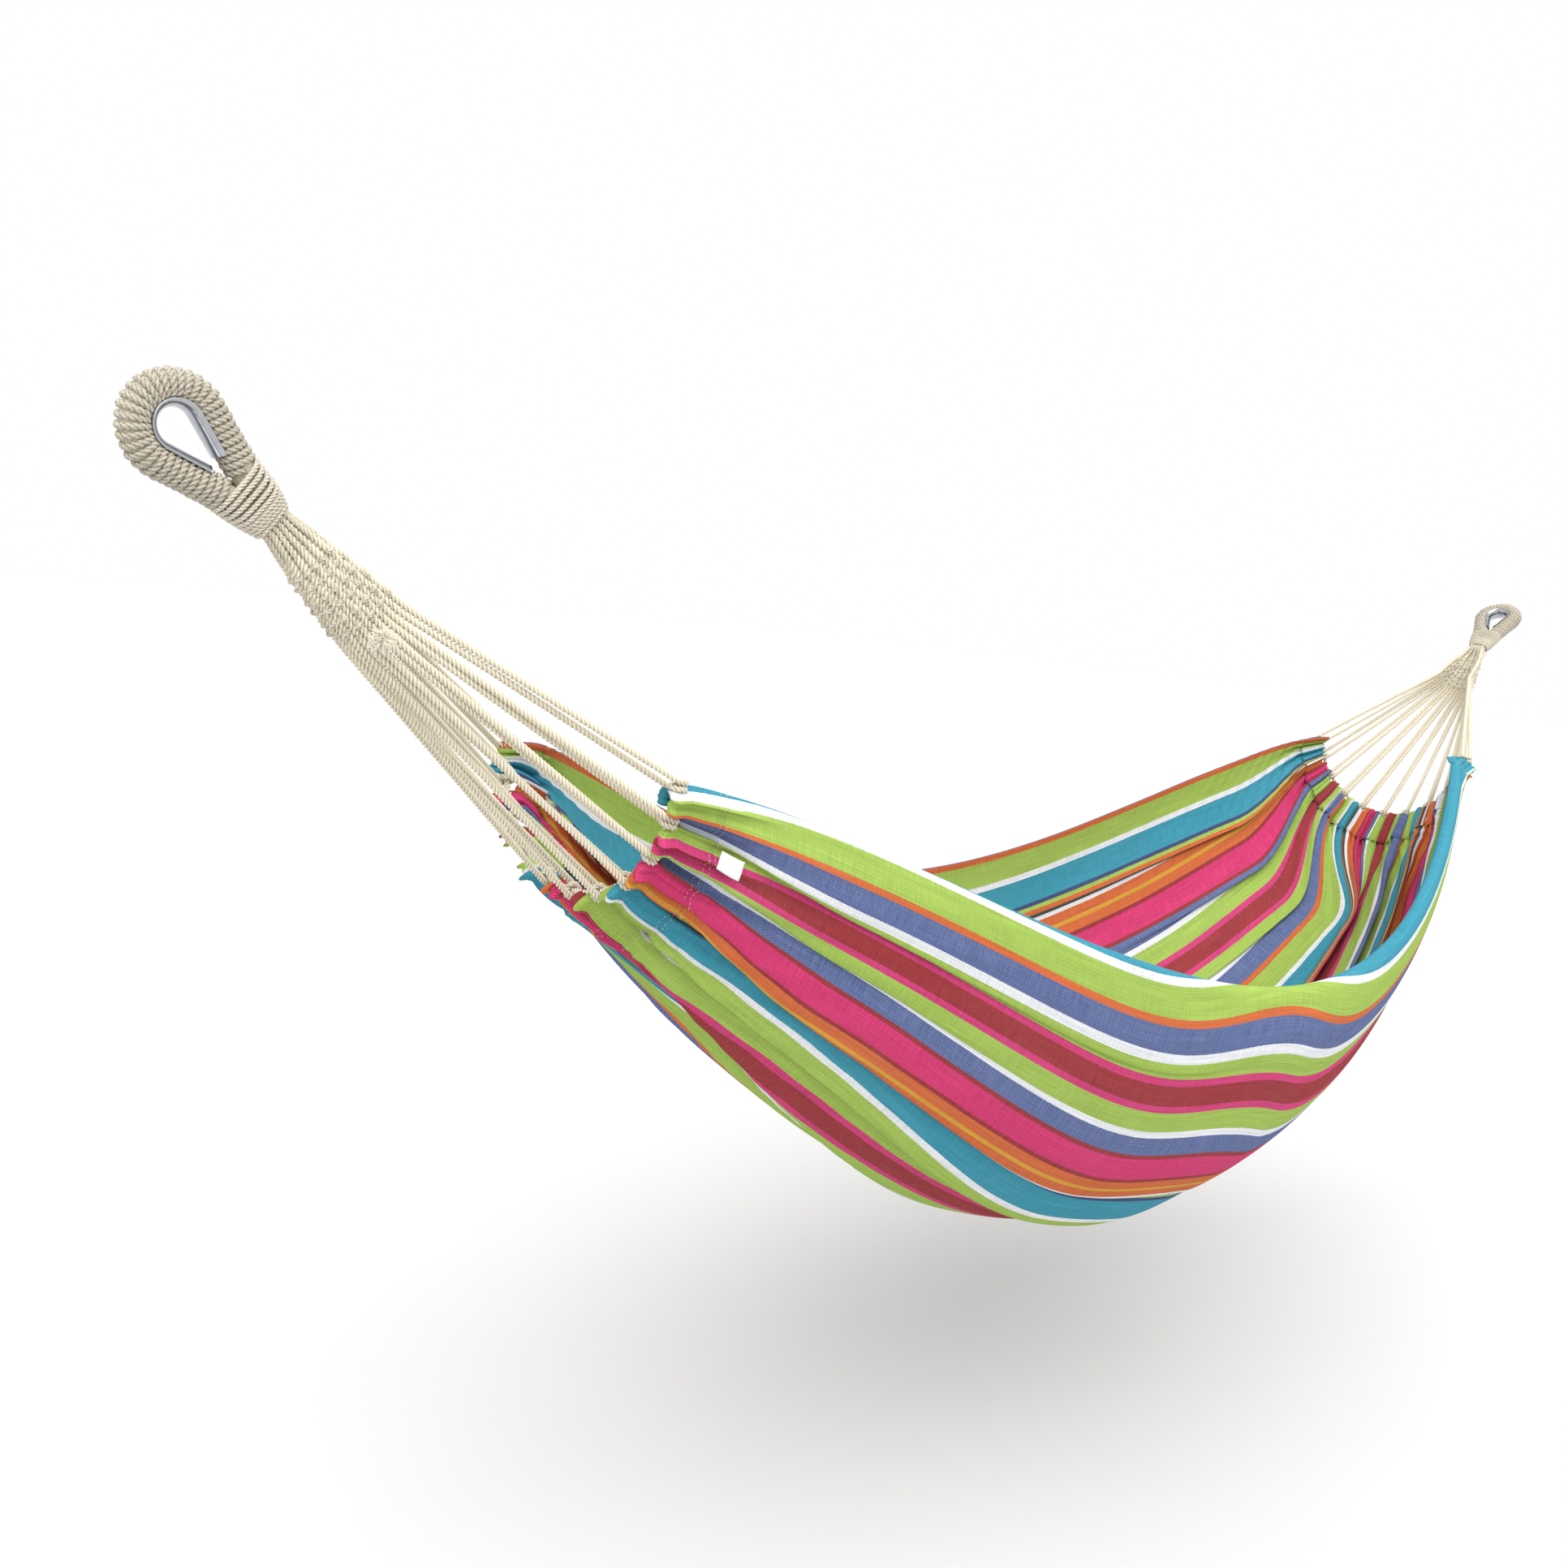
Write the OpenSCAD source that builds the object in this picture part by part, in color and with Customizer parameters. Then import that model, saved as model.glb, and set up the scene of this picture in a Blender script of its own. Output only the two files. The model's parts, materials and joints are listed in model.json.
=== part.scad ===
// Cotton hammock hung between two hooks by a served rope eye at each end.
// X runs from eye to eye and Z is up.
// The origin is the centre of the round end of the first eye's thimble.

/* [Hanging] */
// Distance between the round ends' centres of the two thimbles
hung_span = 2700; // [2600:10:2800]
// Angle that each eye points below the level line
eye_tilt = 38; // [35:1:41]
// Distance along the span from the first eye to the bed's hem corners
reach_a = 410; // [380:5:430]
// Distance along the span from the second eye to the bed's hem corners
reach_b = 425; // [410:5:470]

/* [Eyes] */
// Radius of the round end of the thimble's opening
thimble_r = 13.5; // [12:0.5:15]
// Thickness of the thimble's sheet
thimble_t = 2; // [1.5:0.5:2.5]
// Radius of the served rope that lies in the thimble
served_r = 14; // [13:0.5:15]
// Radius of the bundle of ropes inside the serving
core_r = 10.5; // [10:0.5:11]
// Half of the angle between the eye's two legs
leg_angle = 17; // [16:0.5:18]
// Distance from the thimble's round centre to the point where the ropes flex
flex_reach = 110; // [106:1:116]

/* [Clew] */
// Length of the woven clew from the flex point
clew_length = 110; // [100:5:120]
// Half of the width across the trough of ropes at the clew's end
trough_r = 30; // [29:1:32]
// Number of rows of the weaver cord
weaver_rows = 6; // [4:1:8]
// Radius of the weaver cord
weaver_r = 1.8; // [1.5:0.1:2.2]

/* [Suspension ropes] */
// Radius of a suspension rope
rope_r = 3.2; // [2.8:0.1:3.2]
// Radius of the cord that runs through the hem
hem_cord_r = 3.5; // [3:0.5:4]

/* [Bed] */
// Half of the width between the hem corners
hem_half_width = 135; // [125:5:145]
// Drop of the hem corners below the eyes
hem_drop = 262; // [250:2:274]
// Depth of the gathered hem below its corners
hem_depth = 124; // [116:2:132]
// Half of the width between the selvedges at mid length
mid_half_width = 350; // [340:2:370]
// Drop of the selvedges below the eyes at mid length
mid_drop = 502; // [480:2:510]
// Depth of the bed below its selvedges at mid length
mid_depth = 410; // [390:5:415]
// Thickness of the cloth's solid
cloth_t = 2; // [1.5:0.5:3]

/* [Hem seam and tag] */
// Distance from each hem cord to the seam, mm
seam_inset = 48; // [30:1:70]
// Length of the blank tag along the bed, mm
tag_l = 22; // [12:1:40]
// Width of the blank tag across the bed, mm
tag_w = 16; // [8:1:30]
// Gap from the seam to the tag, mm
tag_gap = 4; // [3:1:20]

/* [Hidden] */
$fn = 64;
// How fast the width, the selvedges' drop and the depth grow from the hem to mid length
width_growth = 1.11;
drop_growth = 1.5;
depth_growth = 0.78;
// Roundness of the bed's section: 1 is half an ellipse
section_roundness = 1.12;
// How far the hem's middle is pulled towards the eye
hem_bow = 6;
// Space from the hem cord's centre to the cloth
hem_gap = 11;
// Clearance between soft pieces that lie against each other, and the larger one over a faceted skin
clearance = 0.2;
skin_clearance = 1;
// Number of doubled ropes at each end
rope_count = 11;
ALONG = [cos(eye_tilt), 0, -sin(eye_tilt)];
ABOVE = [sin(eye_tilt), 0, cos(eye_tilt)];
seat_r = served_r + clearance;
core_path_r = thimble_r + thimble_t + seat_r;
// Where each leg's rope leaves the round end, and the legs' lengths along it
leg_start = core_path_r * [sin(leg_angle), cos(leg_angle)];
thimble_leg = 35;
ball_r = 9.5;
neck_end = flex_reach - ball_r - 0.3;
neck_r = 7;
serving_gap = 13.6;
whipping_start = leg_reach(serving_gap) + served_r * sin(leg_angle) + 0.2;
whipping_end = neck_end + 3;
whipping_t = 3.6;
eye_steps = 10;
eye_sides = 16;
// Half of the angle that the thimble's gutter holds of the rope
gutter_angle = 52;
gutter_steps = 3;
clew_end = flex_reach + clew_length;
// The clew's half size at its narrow end, how fast it widens and how far its wide end hangs
clew_tip = 9;
clew_swell = 0.8;
clew_sag = 8;
// How far under the eye's line the middle of the trough of ropes lies
trough_sag = 4;
knot_r = 10;
knot_sag = 20;
leg_pitch = 2 * rope_r + clearance;
clew_sides = 20;
clew_stations = 7;
// Space between the band's end and the slanted ends of the rope legs
band_gap = 1.2;
bed_steps = 40;
bed_strips = 24;
pocket_r = 9.5;
rope_pair_gap = 2 * rope_r + 0.4;
slot_w = 22;
loop_r = hem_cord_r + rope_r + clearance;
SIDES = [for (i = [0 : rope_count - 1]) -90 + 180 * i / (rope_count - 1)];
ROPES_A = [for (i = [1 : rope_count]) str("suspension_rope_a_", i < 10 ? "0" : "", i)];
ROPES_B = [for (i = [1 : rope_count]) str("suspension_rope_b_", i < 10 ? "0" : "", i)];

function unit(v) = v / norm(v);

// A round rod from one point to another
module rod(start, end, r) {
    run = end - start;
    translate(start)
        rotate([0, acos(run.z / norm(run)), atan2(run.y, run.x)])
            cylinder(h = norm(run), r = r);
}

function heading(path, i, closed) =
    let (n = len(path))
    closed
        ? unit(path[(i + 1) % n] - path[(i + n - 1) % n])
        : unit(path[min(i + 1, n - 1)] - path[max(i - 1, 0)]);

function ring_points(centre, along, hint, r, sides) =
    let (side = unit(cross(along, hint)))
    let (up = cross(side, along))
    [for (k = [0 : sides - 1]) centre + r * (cos(360 * k / sides) * side + sin(360 * k / sides) * up)];

// Skin between rings of points. It is closed at both ends, or run round into a loop.
// In a hollow one, each ring holds the outer points and then the inner ones.
module skin(rings, closed = false, hollow = false) {
    n = len(rings);
    row = len(rings[0]);
    sides = hollow ? row / 2 : row;
    spans = closed ? n : n - 1;
    last = (n - 1) * row;
    walls = [
        for (i = [0 : spans - 1], k = [0 : sides - 1])
            let (here = i * row, next = ((i + 1) % n) * row, turn = (k + 1) % sides)
            each [[here + k, here + turn, next + k], [here + turn, next + turn, next + k]]
    ];
    bore = [
        for (i = [0 : spans - 1], k = [0 : sides - 1])
            let (here = i * row + sides, next = (i + 1) * row + sides, turn = (k + 1) % sides)
            each [[here + k, next + k, here + turn], [here + turn, next + k, next + turn]]
    ];
    caps = [
        [for (k = [sides - 1 : -1 : 0]) k],
        [for (k = [0 : sides - 1]) last + k]
    ];
    rims = [
        for (k = [0 : sides - 1])
            let (turn = (k + 1) % sides)
            each [
                [k, sides + k, turn], [turn, sides + k, sides + turn],
                [last + k, last + turn, last + sides + k],
                [last + turn, last + sides + turn, last + sides + k]
            ]
    ];
    polyhedron(
        [for (one = rings) each one],
        closed ? walls : hollow ? concat(walls, bore, rims) : concat(walls, caps)
    );
}

// A cord of few sides along a path
module cord(path, r, sides, hint, closed = false) {
    skin([for (i = [0 : len(path) - 1])
        ring_points(path[i], heading(path, i, closed), hint, r, sides)], closed);
}

// ---------- the bed's shape ----------

function fullness(u) = max(0, 4 * u * (1 - u));
function bed_width(u) = hem_half_width + (mid_half_width - hem_half_width) * pow(fullness(u), width_growth);
function bed_drop(u) = hem_drop + (mid_drop - hem_drop) * pow(fullness(u), drop_growth);
function bed_depth(u) = hem_depth + (mid_depth - hem_depth) * pow(fullness(u), depth_growth);
function hem_x_a(side) = reach_a - hem_bow * cos(side);
function hem_x_b(side) = hung_span - reach_b + hem_bow * cos(side);

// Point of the bed at u along it (0 to 1) and at an angle across it (-90 near, 90 far)
function bed_point(u, side, inset = 0) =
    let (x0 = hem_x_a(side) + inset, x1 = hem_x_b(side) - inset)
    [
        x0 + (x1 - x0) * u,
        bed_width(u) * sin(side),
        -bed_drop(u) - bed_depth(u) * pow(max(0, cos(side)), section_roundness)
    ];
// Share of the bed's length that lies within a distance of a hem cord
function bed_share(from_hem) = (from_hem - hem_gap) / (hung_span - reach_a - reach_b - 2 * hem_gap);
function inward(u, side) = unit([0, -sin(side) / bed_width(u), cos(side) / bed_depth(u)]);
function hem_point(side) = bed_point(0, side);
function hem_point_b(side) = bed_point(1, side);

// ---------- one end, built at the first eye and mirrored for the second ----------

// Puts a child at one end: the second end is a mirror image across the span
module at_end(b) {
    if (b) translate([hung_span, 0, 0]) mirror([1, 0, 0]) children();
    else children();
}

// Turns the eye's own plane: X along the eye, Y across its legs, Z through its opening
module in_eye(b) {
    at_end(b) rotate([0, eye_tilt, 0]) rotate([b ? 0 : 90, 0, 0]) children();
}

// How far along the eye a leg's middle is when it is this far off the eye's axis
function leg_reach(offset) = leg_start.x + (leg_start.y - offset) / tan(leg_angle);

// Path of the rope round the eye, from one leg's end to the other's
function round_end() = [
    for (i = [-eye_steps : eye_steps])
        let (turn = 180 - i * (90 + leg_angle) / eye_steps)
        core_path_r * [cos(turn), sin(turn), 0]
];
function both_legs(tail, middle) = concat(
    [for (i = [len(tail) - 1 : -1 : 0]) [tail[i].x, -tail[i].y, 0]],
    middle,
    [for (one = tail) [one.x, one.y, 0]]
);

// Sheet of the thimble across the rope's path: a shallow gutter that opens towards the rope
function gutter_points(centre, along) = concat(
    gutter_arc(centre, along, thimble_t + seat_r, 1),
    gutter_arc(centre, along, seat_r, -1)
);
function gutter_arc(centre, along, r, way) =
    let (side = unit(cross(along, [0, 0, 1])))
    let (up = cross(side, along))
    [for (k = [-gutter_steps : gutter_steps])
        let (a = way * k * gutter_angle / gutter_steps)
        centre + r * (cos(a) * side + sin(a) * up)];

module thimble(b) {
    leg_end = leg_start + thimble_leg * [cos(leg_angle), -sin(leg_angle)];
    path = both_legs([leg_end], round_end());
    color("silver") in_eye(b)
        skin([for (i = [0 : len(path) - 1]) gutter_points(path[i], heading(path, i, false))]);
}

module eye_rope(b) {
    neck = [
        [leg_reach(core_r + 0.1), core_r + 0.1],
        [(leg_reach(core_r + 0.1) + neck_end) / 2, (core_r + neck_r) / 2 + 0.1],
        [neck_end, neck_r + 0.1]
    ];
    squeezed = [core_r, (core_r + neck_r) / 2, neck_r];
    path = both_legs(neck, round_end());
    radii = both_radii(squeezed, core_r);
    color("wheat") in_eye(b)
        skin([for (i = [0 : len(path) - 1])
            ring_points(path[i], heading(path, i, false), [0, 0, 1], radii[i], eye_sides)]);
}

function both_radii(tail, middle) = concat(
    [for (i = [len(tail) - 1 : -1 : 0]) tail[i]],
    [for (i = [-eye_steps : eye_steps]) middle],
    tail
);

module eye_serving(b) {
    path = both_legs([[leg_reach(serving_gap), serving_gap]], round_end());
    color("tan") in_eye(b)
        skin([for (i = [0 : len(path) - 1])
            concat(
                ring_points(path[i], heading(path, i, false), [0, 0, 1], served_r, eye_sides),
                ring_points(path[i], heading(path, i, false), [0, 0, 1], core_r + 0.2, eye_sides)
            )], hollow = true);
}

// The two legs drawn together, with the half width and the radius at each end
module neck_form(from_x, from_y, from_r, to_x, to_y, to_r) {
    hull() for (s = [-1, 1]) {
        translate([from_x, s * from_y, 0]) rotate([0, 90, 0]) cylinder(h = 0.1, r = from_r, $fn = 32);
        translate([to_x - 0.1, s * to_y, 0]) rotate([0, 90, 0]) cylinder(h = 0.1, r = to_r, $fn = 32);
    }
}

module neck_whipping(b) {
    wide = 12.5;
    wide_r = core_r + 0.9;
    narrow_r = neck_r + 0.4;
    color("ivory") in_eye(b) difference() {
        neck_form(whipping_start, wide, wide_r + whipping_t, whipping_end, neck_r, narrow_r + whipping_t);
        neck_form(whipping_start - 1, wide, wide_r, whipping_end + 1, neck_r, narrow_r);
    }
}

// Half sizes of the clew's section and how far its middle hangs below the axis
function clew_share(p) = (p - flex_reach) / clew_length;
function clew_half_w(p) = clew_tip + (trough_r + rope_r - clew_tip) * pow(clew_share(p), clew_swell);
function clew_half_h(p) = clew_tip + (trough_r - 2 - clew_tip) * pow(clew_share(p), clew_swell);
function clew_centre(p) = p * ALONG - clew_sag * clew_share(p) * ABOVE;
function clew_ring(p, grow, sides) = [
    for (k = [0 : sides - 1])
        let (a = -360 * k / sides)
        clew_centre(p) + (clew_half_w(p) + grow) * cos(a) * [0, 1, 0]
            + (clew_half_h(p) + grow) * sin(a) * ABOVE
];

module clew_band(b) {
    first = flex_reach + ball_r * 0.4;
    last = clew_end - band_gap;
    color("cornsilk") at_end(b) {
        skin([for (i = [0 : clew_stations - 1])
            clew_ring(first + (last - first) * i / (clew_stations - 1), 0, clew_sides)]);
        translate(flex_reach * ALONG) sphere(ball_r);
    }
}

module weaver_cord(b) {
    color("burlywood") at_end(b)
        for (i = [1 : weaver_rows])
            let (p = flex_reach + clew_length * (0.22 + 0.72 * i / (weaver_rows + 1)))
            cord(clew_ring(p, weaver_r + skin_clearance, 16), weaver_r, 5, ALONG, closed = true);
}

module weaver_knot(b) {
    side = b ? 1 : -1;
    aside = trough_r + rope_r + knot_r + 4;
    color("linen") at_end(b)
        translate((clew_end - 4) * ALONG - knot_sag * ABOVE + side * aside * [0, 1, 0])
            sphere(knot_r);
}

// Place of a rope leg in the trough of ropes at the clew's end, counted along the trough
function trough_point(s) =
    let (arc = 90 * trough_r * PI / 180, t = max(-arc, min(arc, s)), turn = t / trough_r * 180 / PI)
    clew_end * ALONG + trough_r * sin(turn) * [0, 1, 0]
        + (-trough_sag - trough_r * cos(turn) + abs(s - t)) * ABOVE;

function leg_place(k) = trough_point((k - rope_count + 0.5) * leg_pitch);

// The same hem seen from its own end, because the two ends have their own reach
function own_hem_point(b, side) =
    b ? [hung_span - hem_point_b(side).x, hem_point_b(side).y, hem_point_b(side).z] : hem_point(side);
function hem_heading(b, side) = unit(own_hem_point(b, side + 1) - own_hem_point(b, side - 1));

module suspension_rope(b, i) {
    side = SIDES[i];
    centre = own_hem_point(b, side);
    run = hem_heading(b, side);
    color("antiquewhite") at_end(b) {
        for (leg = [0, 1]) {
            start = leg_place(2 * i + leg);
            pull = unit(centre - start);
            rod(start, centre - loop_r * pull + (leg - 0.5) * rope_pair_gap * run, rope_r);
        }
        translate(centre)
            rotate([0, acos(run.z), atan2(run.y, run.x)])
                rotate_extrude() translate([loop_r, 0]) circle(rope_r);
    }
}

module hem_cord(b) {
    past = 16;
    corner = hem_heading(b, SIDES[rope_count - 1]);
    middle = [for (side = [-90 : 9 : 90]) own_hem_point(b, side)];
    ends = len(middle) - 1;
    color("oldlace") at_end(b)
        cord(concat([middle[0] - past * hem_heading(b, -90)], middle, [middle[ends] + past * corner]),
            hem_cord_r, 8, [1, 0, 0]);
}

// The sewn channel of the hem, one piece between each two loops
module hem_pocket(b) {
    color("yellowgreen") at_end(b)
        for (i = [0 : rope_count - 2]) {
            start = own_hem_point(b, SIDES[i]);
            end = own_hem_point(b, SIDES[i + 1]);
            mid = own_hem_point(b, (SIDES[i] + SIDES[i + 1]) / 2);
            run = unit(end - start);
            half = norm(end - start) / 2 - slot_w / 2;
            difference() {
                rod(mid - half * run, mid + half * run, pocket_r);
                rod(mid - 2 * half * run, mid + 2 * half * run, hem_cord_r + 1);
            }
        }
}

module hem_thread(b) {
    u = b ? 1 - bed_share(seam_inset) : bed_share(seam_inset);
    thread_r = 0.6;
    color("white")
        cord([for (side = [-88 : 8 : 88])
            bed_point(u, side, hem_gap) - (cloth_t / 2 + thread_r + skin_clearance) * inward(u, side)],
            thread_r, 6, [1, 0, 0]);
}

// ---------- the bed ----------

module bed_cloth() {
    row = bed_strips + 1;
    half = (bed_steps + 1) * row;
    faces_of = function (u, side, out)
        bed_point(u, side, hem_gap) + out * cloth_t / 2 * inward(u, side);
    points = [
        for (out = [-1, 1], i = [0 : bed_steps], k = [0 : bed_strips])
            faces_of(i / bed_steps, -90 + 180 * k / bed_strips, out)
    ];
    sheet = [
        for (i = [0 : bed_steps - 1], k = [0 : bed_strips - 1])
            let (a = i * row + k, d = a + row)
            each [
                [a, a + 1, d], [a + 1, d + 1, d],
                [half + a, half + d, half + a + 1], [half + a + 1, half + d, half + d + 1]
            ]
    ];
    ends = [
        for (k = [0 : bed_strips - 1])
            let (a = k, z = bed_steps * row + k)
            each [
                [a, half + a, a + 1], [a + 1, half + a, half + a + 1],
                [z, z + 1, half + z], [z + 1, half + z + 1, half + z]
            ]
    ];
    edges = [
        for (i = [0 : bed_steps - 1])
            let (a = i * row, z = i * row + bed_strips)
            each [
                [a, a + row, half + a], [a + row, half + a + row, half + a],
                [z, half + z, z + row], [z + row, half + z, half + z + row]
            ]
    ];
    color("yellowgreen") polyhedron(points, concat(sheet, ends, edges));
}

module blank_label() {
    u = bed_share(seam_inset + tag_gap + tag_l / 2);
    side = -68;
    tag_t = 1;
    at = bed_point(u, side, hem_gap);
    along = unit(bed_point(u + 0.01, side, hem_gap) - at);
    out = unit(cross(bed_point(u, side + 1, hem_gap) - at, along));
    across = cross(out, along);
    lift = (cloth_t + tag_t) / 2 + skin_clearance;
    color("white")
        multmatrix([
            [along.x, across.x, out.x, at.x + lift * out.x],
            [along.y, across.y, out.y, at.y + lift * out.y],
            [along.z, across.z, out.z, at.z + lift * out.z],
            [0, 0, 0, 1]
        ]) cube([tag_l, tag_w, tag_t], center = true);
}

thimble(false);  // thimble_a
eye_rope(false);  // eye_rope_a
eye_serving(false);  // eye_serving_a
neck_whipping(false);  // neck_whipping_a
thimble(true);  // thimble_b
eye_rope(true);  // eye_rope_b
eye_serving(true);  // eye_serving_b
neck_whipping(true);  // neck_whipping_b
clew_band(false);  // clew_band_a
weaver_cord(false);  // weaver_cord_a
weaver_knot(false);  // weaver_knot_a
hem_cord(false);  // hem_cord_a
hem_pocket(false);  // hem_pocket_a
hem_thread(false);  // hem_thread_a
clew_band(true);  // clew_band_b
weaver_cord(true);  // weaver_cord_b
weaver_knot(true);  // weaver_knot_b
hem_cord(true);  // hem_cord_b
hem_pocket(true);  // hem_pocket_b
hem_thread(true);  // hem_thread_b
bed_cloth();
blank_label();
for (i = [0 : rope_count - 1]) {
    suspension_rope(false, i);
    suspension_rope(true, i);
}
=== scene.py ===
"""A striped cotton hammock that hangs by its two rope eyes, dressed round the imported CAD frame."""

import json
import logging
import math
from dataclasses import dataclass, field
from enum import Enum
from typing import Any, Callable, Optional, Sequence, Union

import bpy
import numpy as np
from mathutils import Matrix

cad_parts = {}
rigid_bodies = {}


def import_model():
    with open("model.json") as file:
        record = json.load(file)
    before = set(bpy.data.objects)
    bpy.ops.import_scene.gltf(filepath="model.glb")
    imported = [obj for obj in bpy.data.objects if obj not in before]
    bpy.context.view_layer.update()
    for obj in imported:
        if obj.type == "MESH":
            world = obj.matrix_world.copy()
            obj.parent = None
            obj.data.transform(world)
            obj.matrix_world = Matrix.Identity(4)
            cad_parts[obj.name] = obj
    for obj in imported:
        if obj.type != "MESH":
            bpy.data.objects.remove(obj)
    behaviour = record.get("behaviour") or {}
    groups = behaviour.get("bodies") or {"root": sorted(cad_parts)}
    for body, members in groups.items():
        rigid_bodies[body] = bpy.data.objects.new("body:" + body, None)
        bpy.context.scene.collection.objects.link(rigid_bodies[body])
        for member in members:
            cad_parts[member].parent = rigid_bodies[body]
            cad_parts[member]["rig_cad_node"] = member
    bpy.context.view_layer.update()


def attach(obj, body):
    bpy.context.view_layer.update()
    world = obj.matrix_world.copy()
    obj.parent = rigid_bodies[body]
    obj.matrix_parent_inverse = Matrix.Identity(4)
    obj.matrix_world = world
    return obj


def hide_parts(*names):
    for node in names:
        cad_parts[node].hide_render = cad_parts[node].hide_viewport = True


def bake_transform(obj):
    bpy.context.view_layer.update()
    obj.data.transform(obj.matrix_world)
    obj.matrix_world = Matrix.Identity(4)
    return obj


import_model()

logging.basicConfig(level=logging.INFO, format="%(message)s")
log = logging.getLogger("hammock")

Vec = np.ndarray
Number = Union[int, float]
Colour = tuple[float, float, float]

MM = 0.001
UP = np.array([0.0, 0.0, 1.0])
ACROSS = np.array([0.0, 1.0, 0.0])


# ---------- driving sizes, the same as the CAD's ----------


@dataclass(frozen=True)
class Sizes:
    """Driving sizes of the hammock in metres, as in the CAD source."""

    hung_span: float = 2.7
    eye_tilt: float = math.radians(38)
    reach_a: float = 0.410
    reach_b: float = 0.425
    thimble_r: float = 0.0135
    thimble_t: float = 0.002
    seat_r: float = 0.0142
    served_r: float = 0.014
    leg_angle: float = math.radians(17)
    serving_gap: float = 0.0136
    thimble_leg: float = 0.035
    flex_reach: float = 0.110
    clew_end: float = 0.220
    clew_sag: float = 0.008
    trough_r: float = 0.030
    trough_sag: float = 0.004
    leg_pitch: float = 0.0066
    rope_r: float = 0.0032
    hem_cord_r: float = 0.0035
    hem_gap: float = 0.011
    hem_bow: float = 0.006
    cut_width: float = 1.40
    cut_length: float = 2.20

    @property
    def core_path_r(self) -> float:
        """Return the radius of the rope's path round the thimble."""
        return self.thimble_r + self.thimble_t + self.seat_r


SIZES = Sizes()
ROPE_COUNT = 11
LEG_COUNT = 2 * ROPE_COUNT


class End(Enum):
    """The two ends of the hammock."""

    A = "a"
    B = "b"


class Body(Enum):
    """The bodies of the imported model."""

    ROOT = "root"
    SLING = "sling"


class Slot(Enum):
    """The record's material slots."""

    THIMBLE = "thimble"
    ROPE = "rope"
    SERVING = "serving"
    LASHING = "lashing"
    CLOTH = "cloth"
    THREAD = "thread"
    LABEL = "label"


# ---------- small vector helpers ----------


def unit(v: Vec) -> Vec:
    """Return a vector, or each row of vectors, at length one."""
    return v / np.maximum(np.linalg.norm(v, axis=-1, keepdims=True), 1e-12)


def smooth_step(x: Union[float, Vec], low: float, high: float) -> Union[float, Vec]:
    """Return a smooth rise from 0 at low to 1 at high."""
    t = np.clip((np.asarray(x, float) - low) / (high - low), 0.0, 1.0)
    return t * t * (3 - 2 * t)


def path_length(points: Vec) -> float:
    """Return the length of a line of points."""
    return float(np.linalg.norm(np.diff(points, axis=0), axis=1).sum())


def resample(points: Vec, step: float, extra: Optional[Vec] = None) -> tuple[Vec, Optional[Vec]]:
    """Space the points of a line evenly.

    Args:
        points: The line's points, one row each.
        step: The wanted distance between points.
        extra: A value at each point that is carried along, if any.

    Returns:
        The new points, and the carried values there.
    """
    along = np.concatenate([[0.0], np.cumsum(np.linalg.norm(np.diff(points, axis=0), axis=1))])
    count = max(3, int(round(along[-1] / step)) + 1)
    places = np.linspace(0.0, along[-1], count)
    even = np.stack([np.interp(places, along, points[:, i]) for i in range(3)], axis=1)
    carried = None if extra is None else np.interp(places, along, extra)
    return even, carried


def soften(points: Vec, passes: int = 2) -> Vec:
    """Round the corners of a line by averaging neighbours, with its ends held."""
    out = points.copy()
    for _ in range(passes):
        out[1:-1] = 0.25 * out[:-2] + 0.5 * out[1:-1] + 0.25 * out[2:]
    return out


def carried_frames(points: Vec) -> tuple[Vec, Vec, Vec]:
    """Return headings along a line, with two side directions that turn as little as they can."""
    heading = unit(np.gradient(points, axis=0))
    side = np.empty_like(points)
    first = UP if abs(heading[0] @ UP) < 0.9 else ACROSS
    side[0] = unit(np.cross(heading[0], first))
    for i in range(1, len(points)):
        kept = side[i - 1] - heading[i] * (side[i - 1] @ heading[i])
        side[i] = unit(kept)
    return heading, side, np.cross(heading, side)


# ---------- meshes ----------


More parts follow.
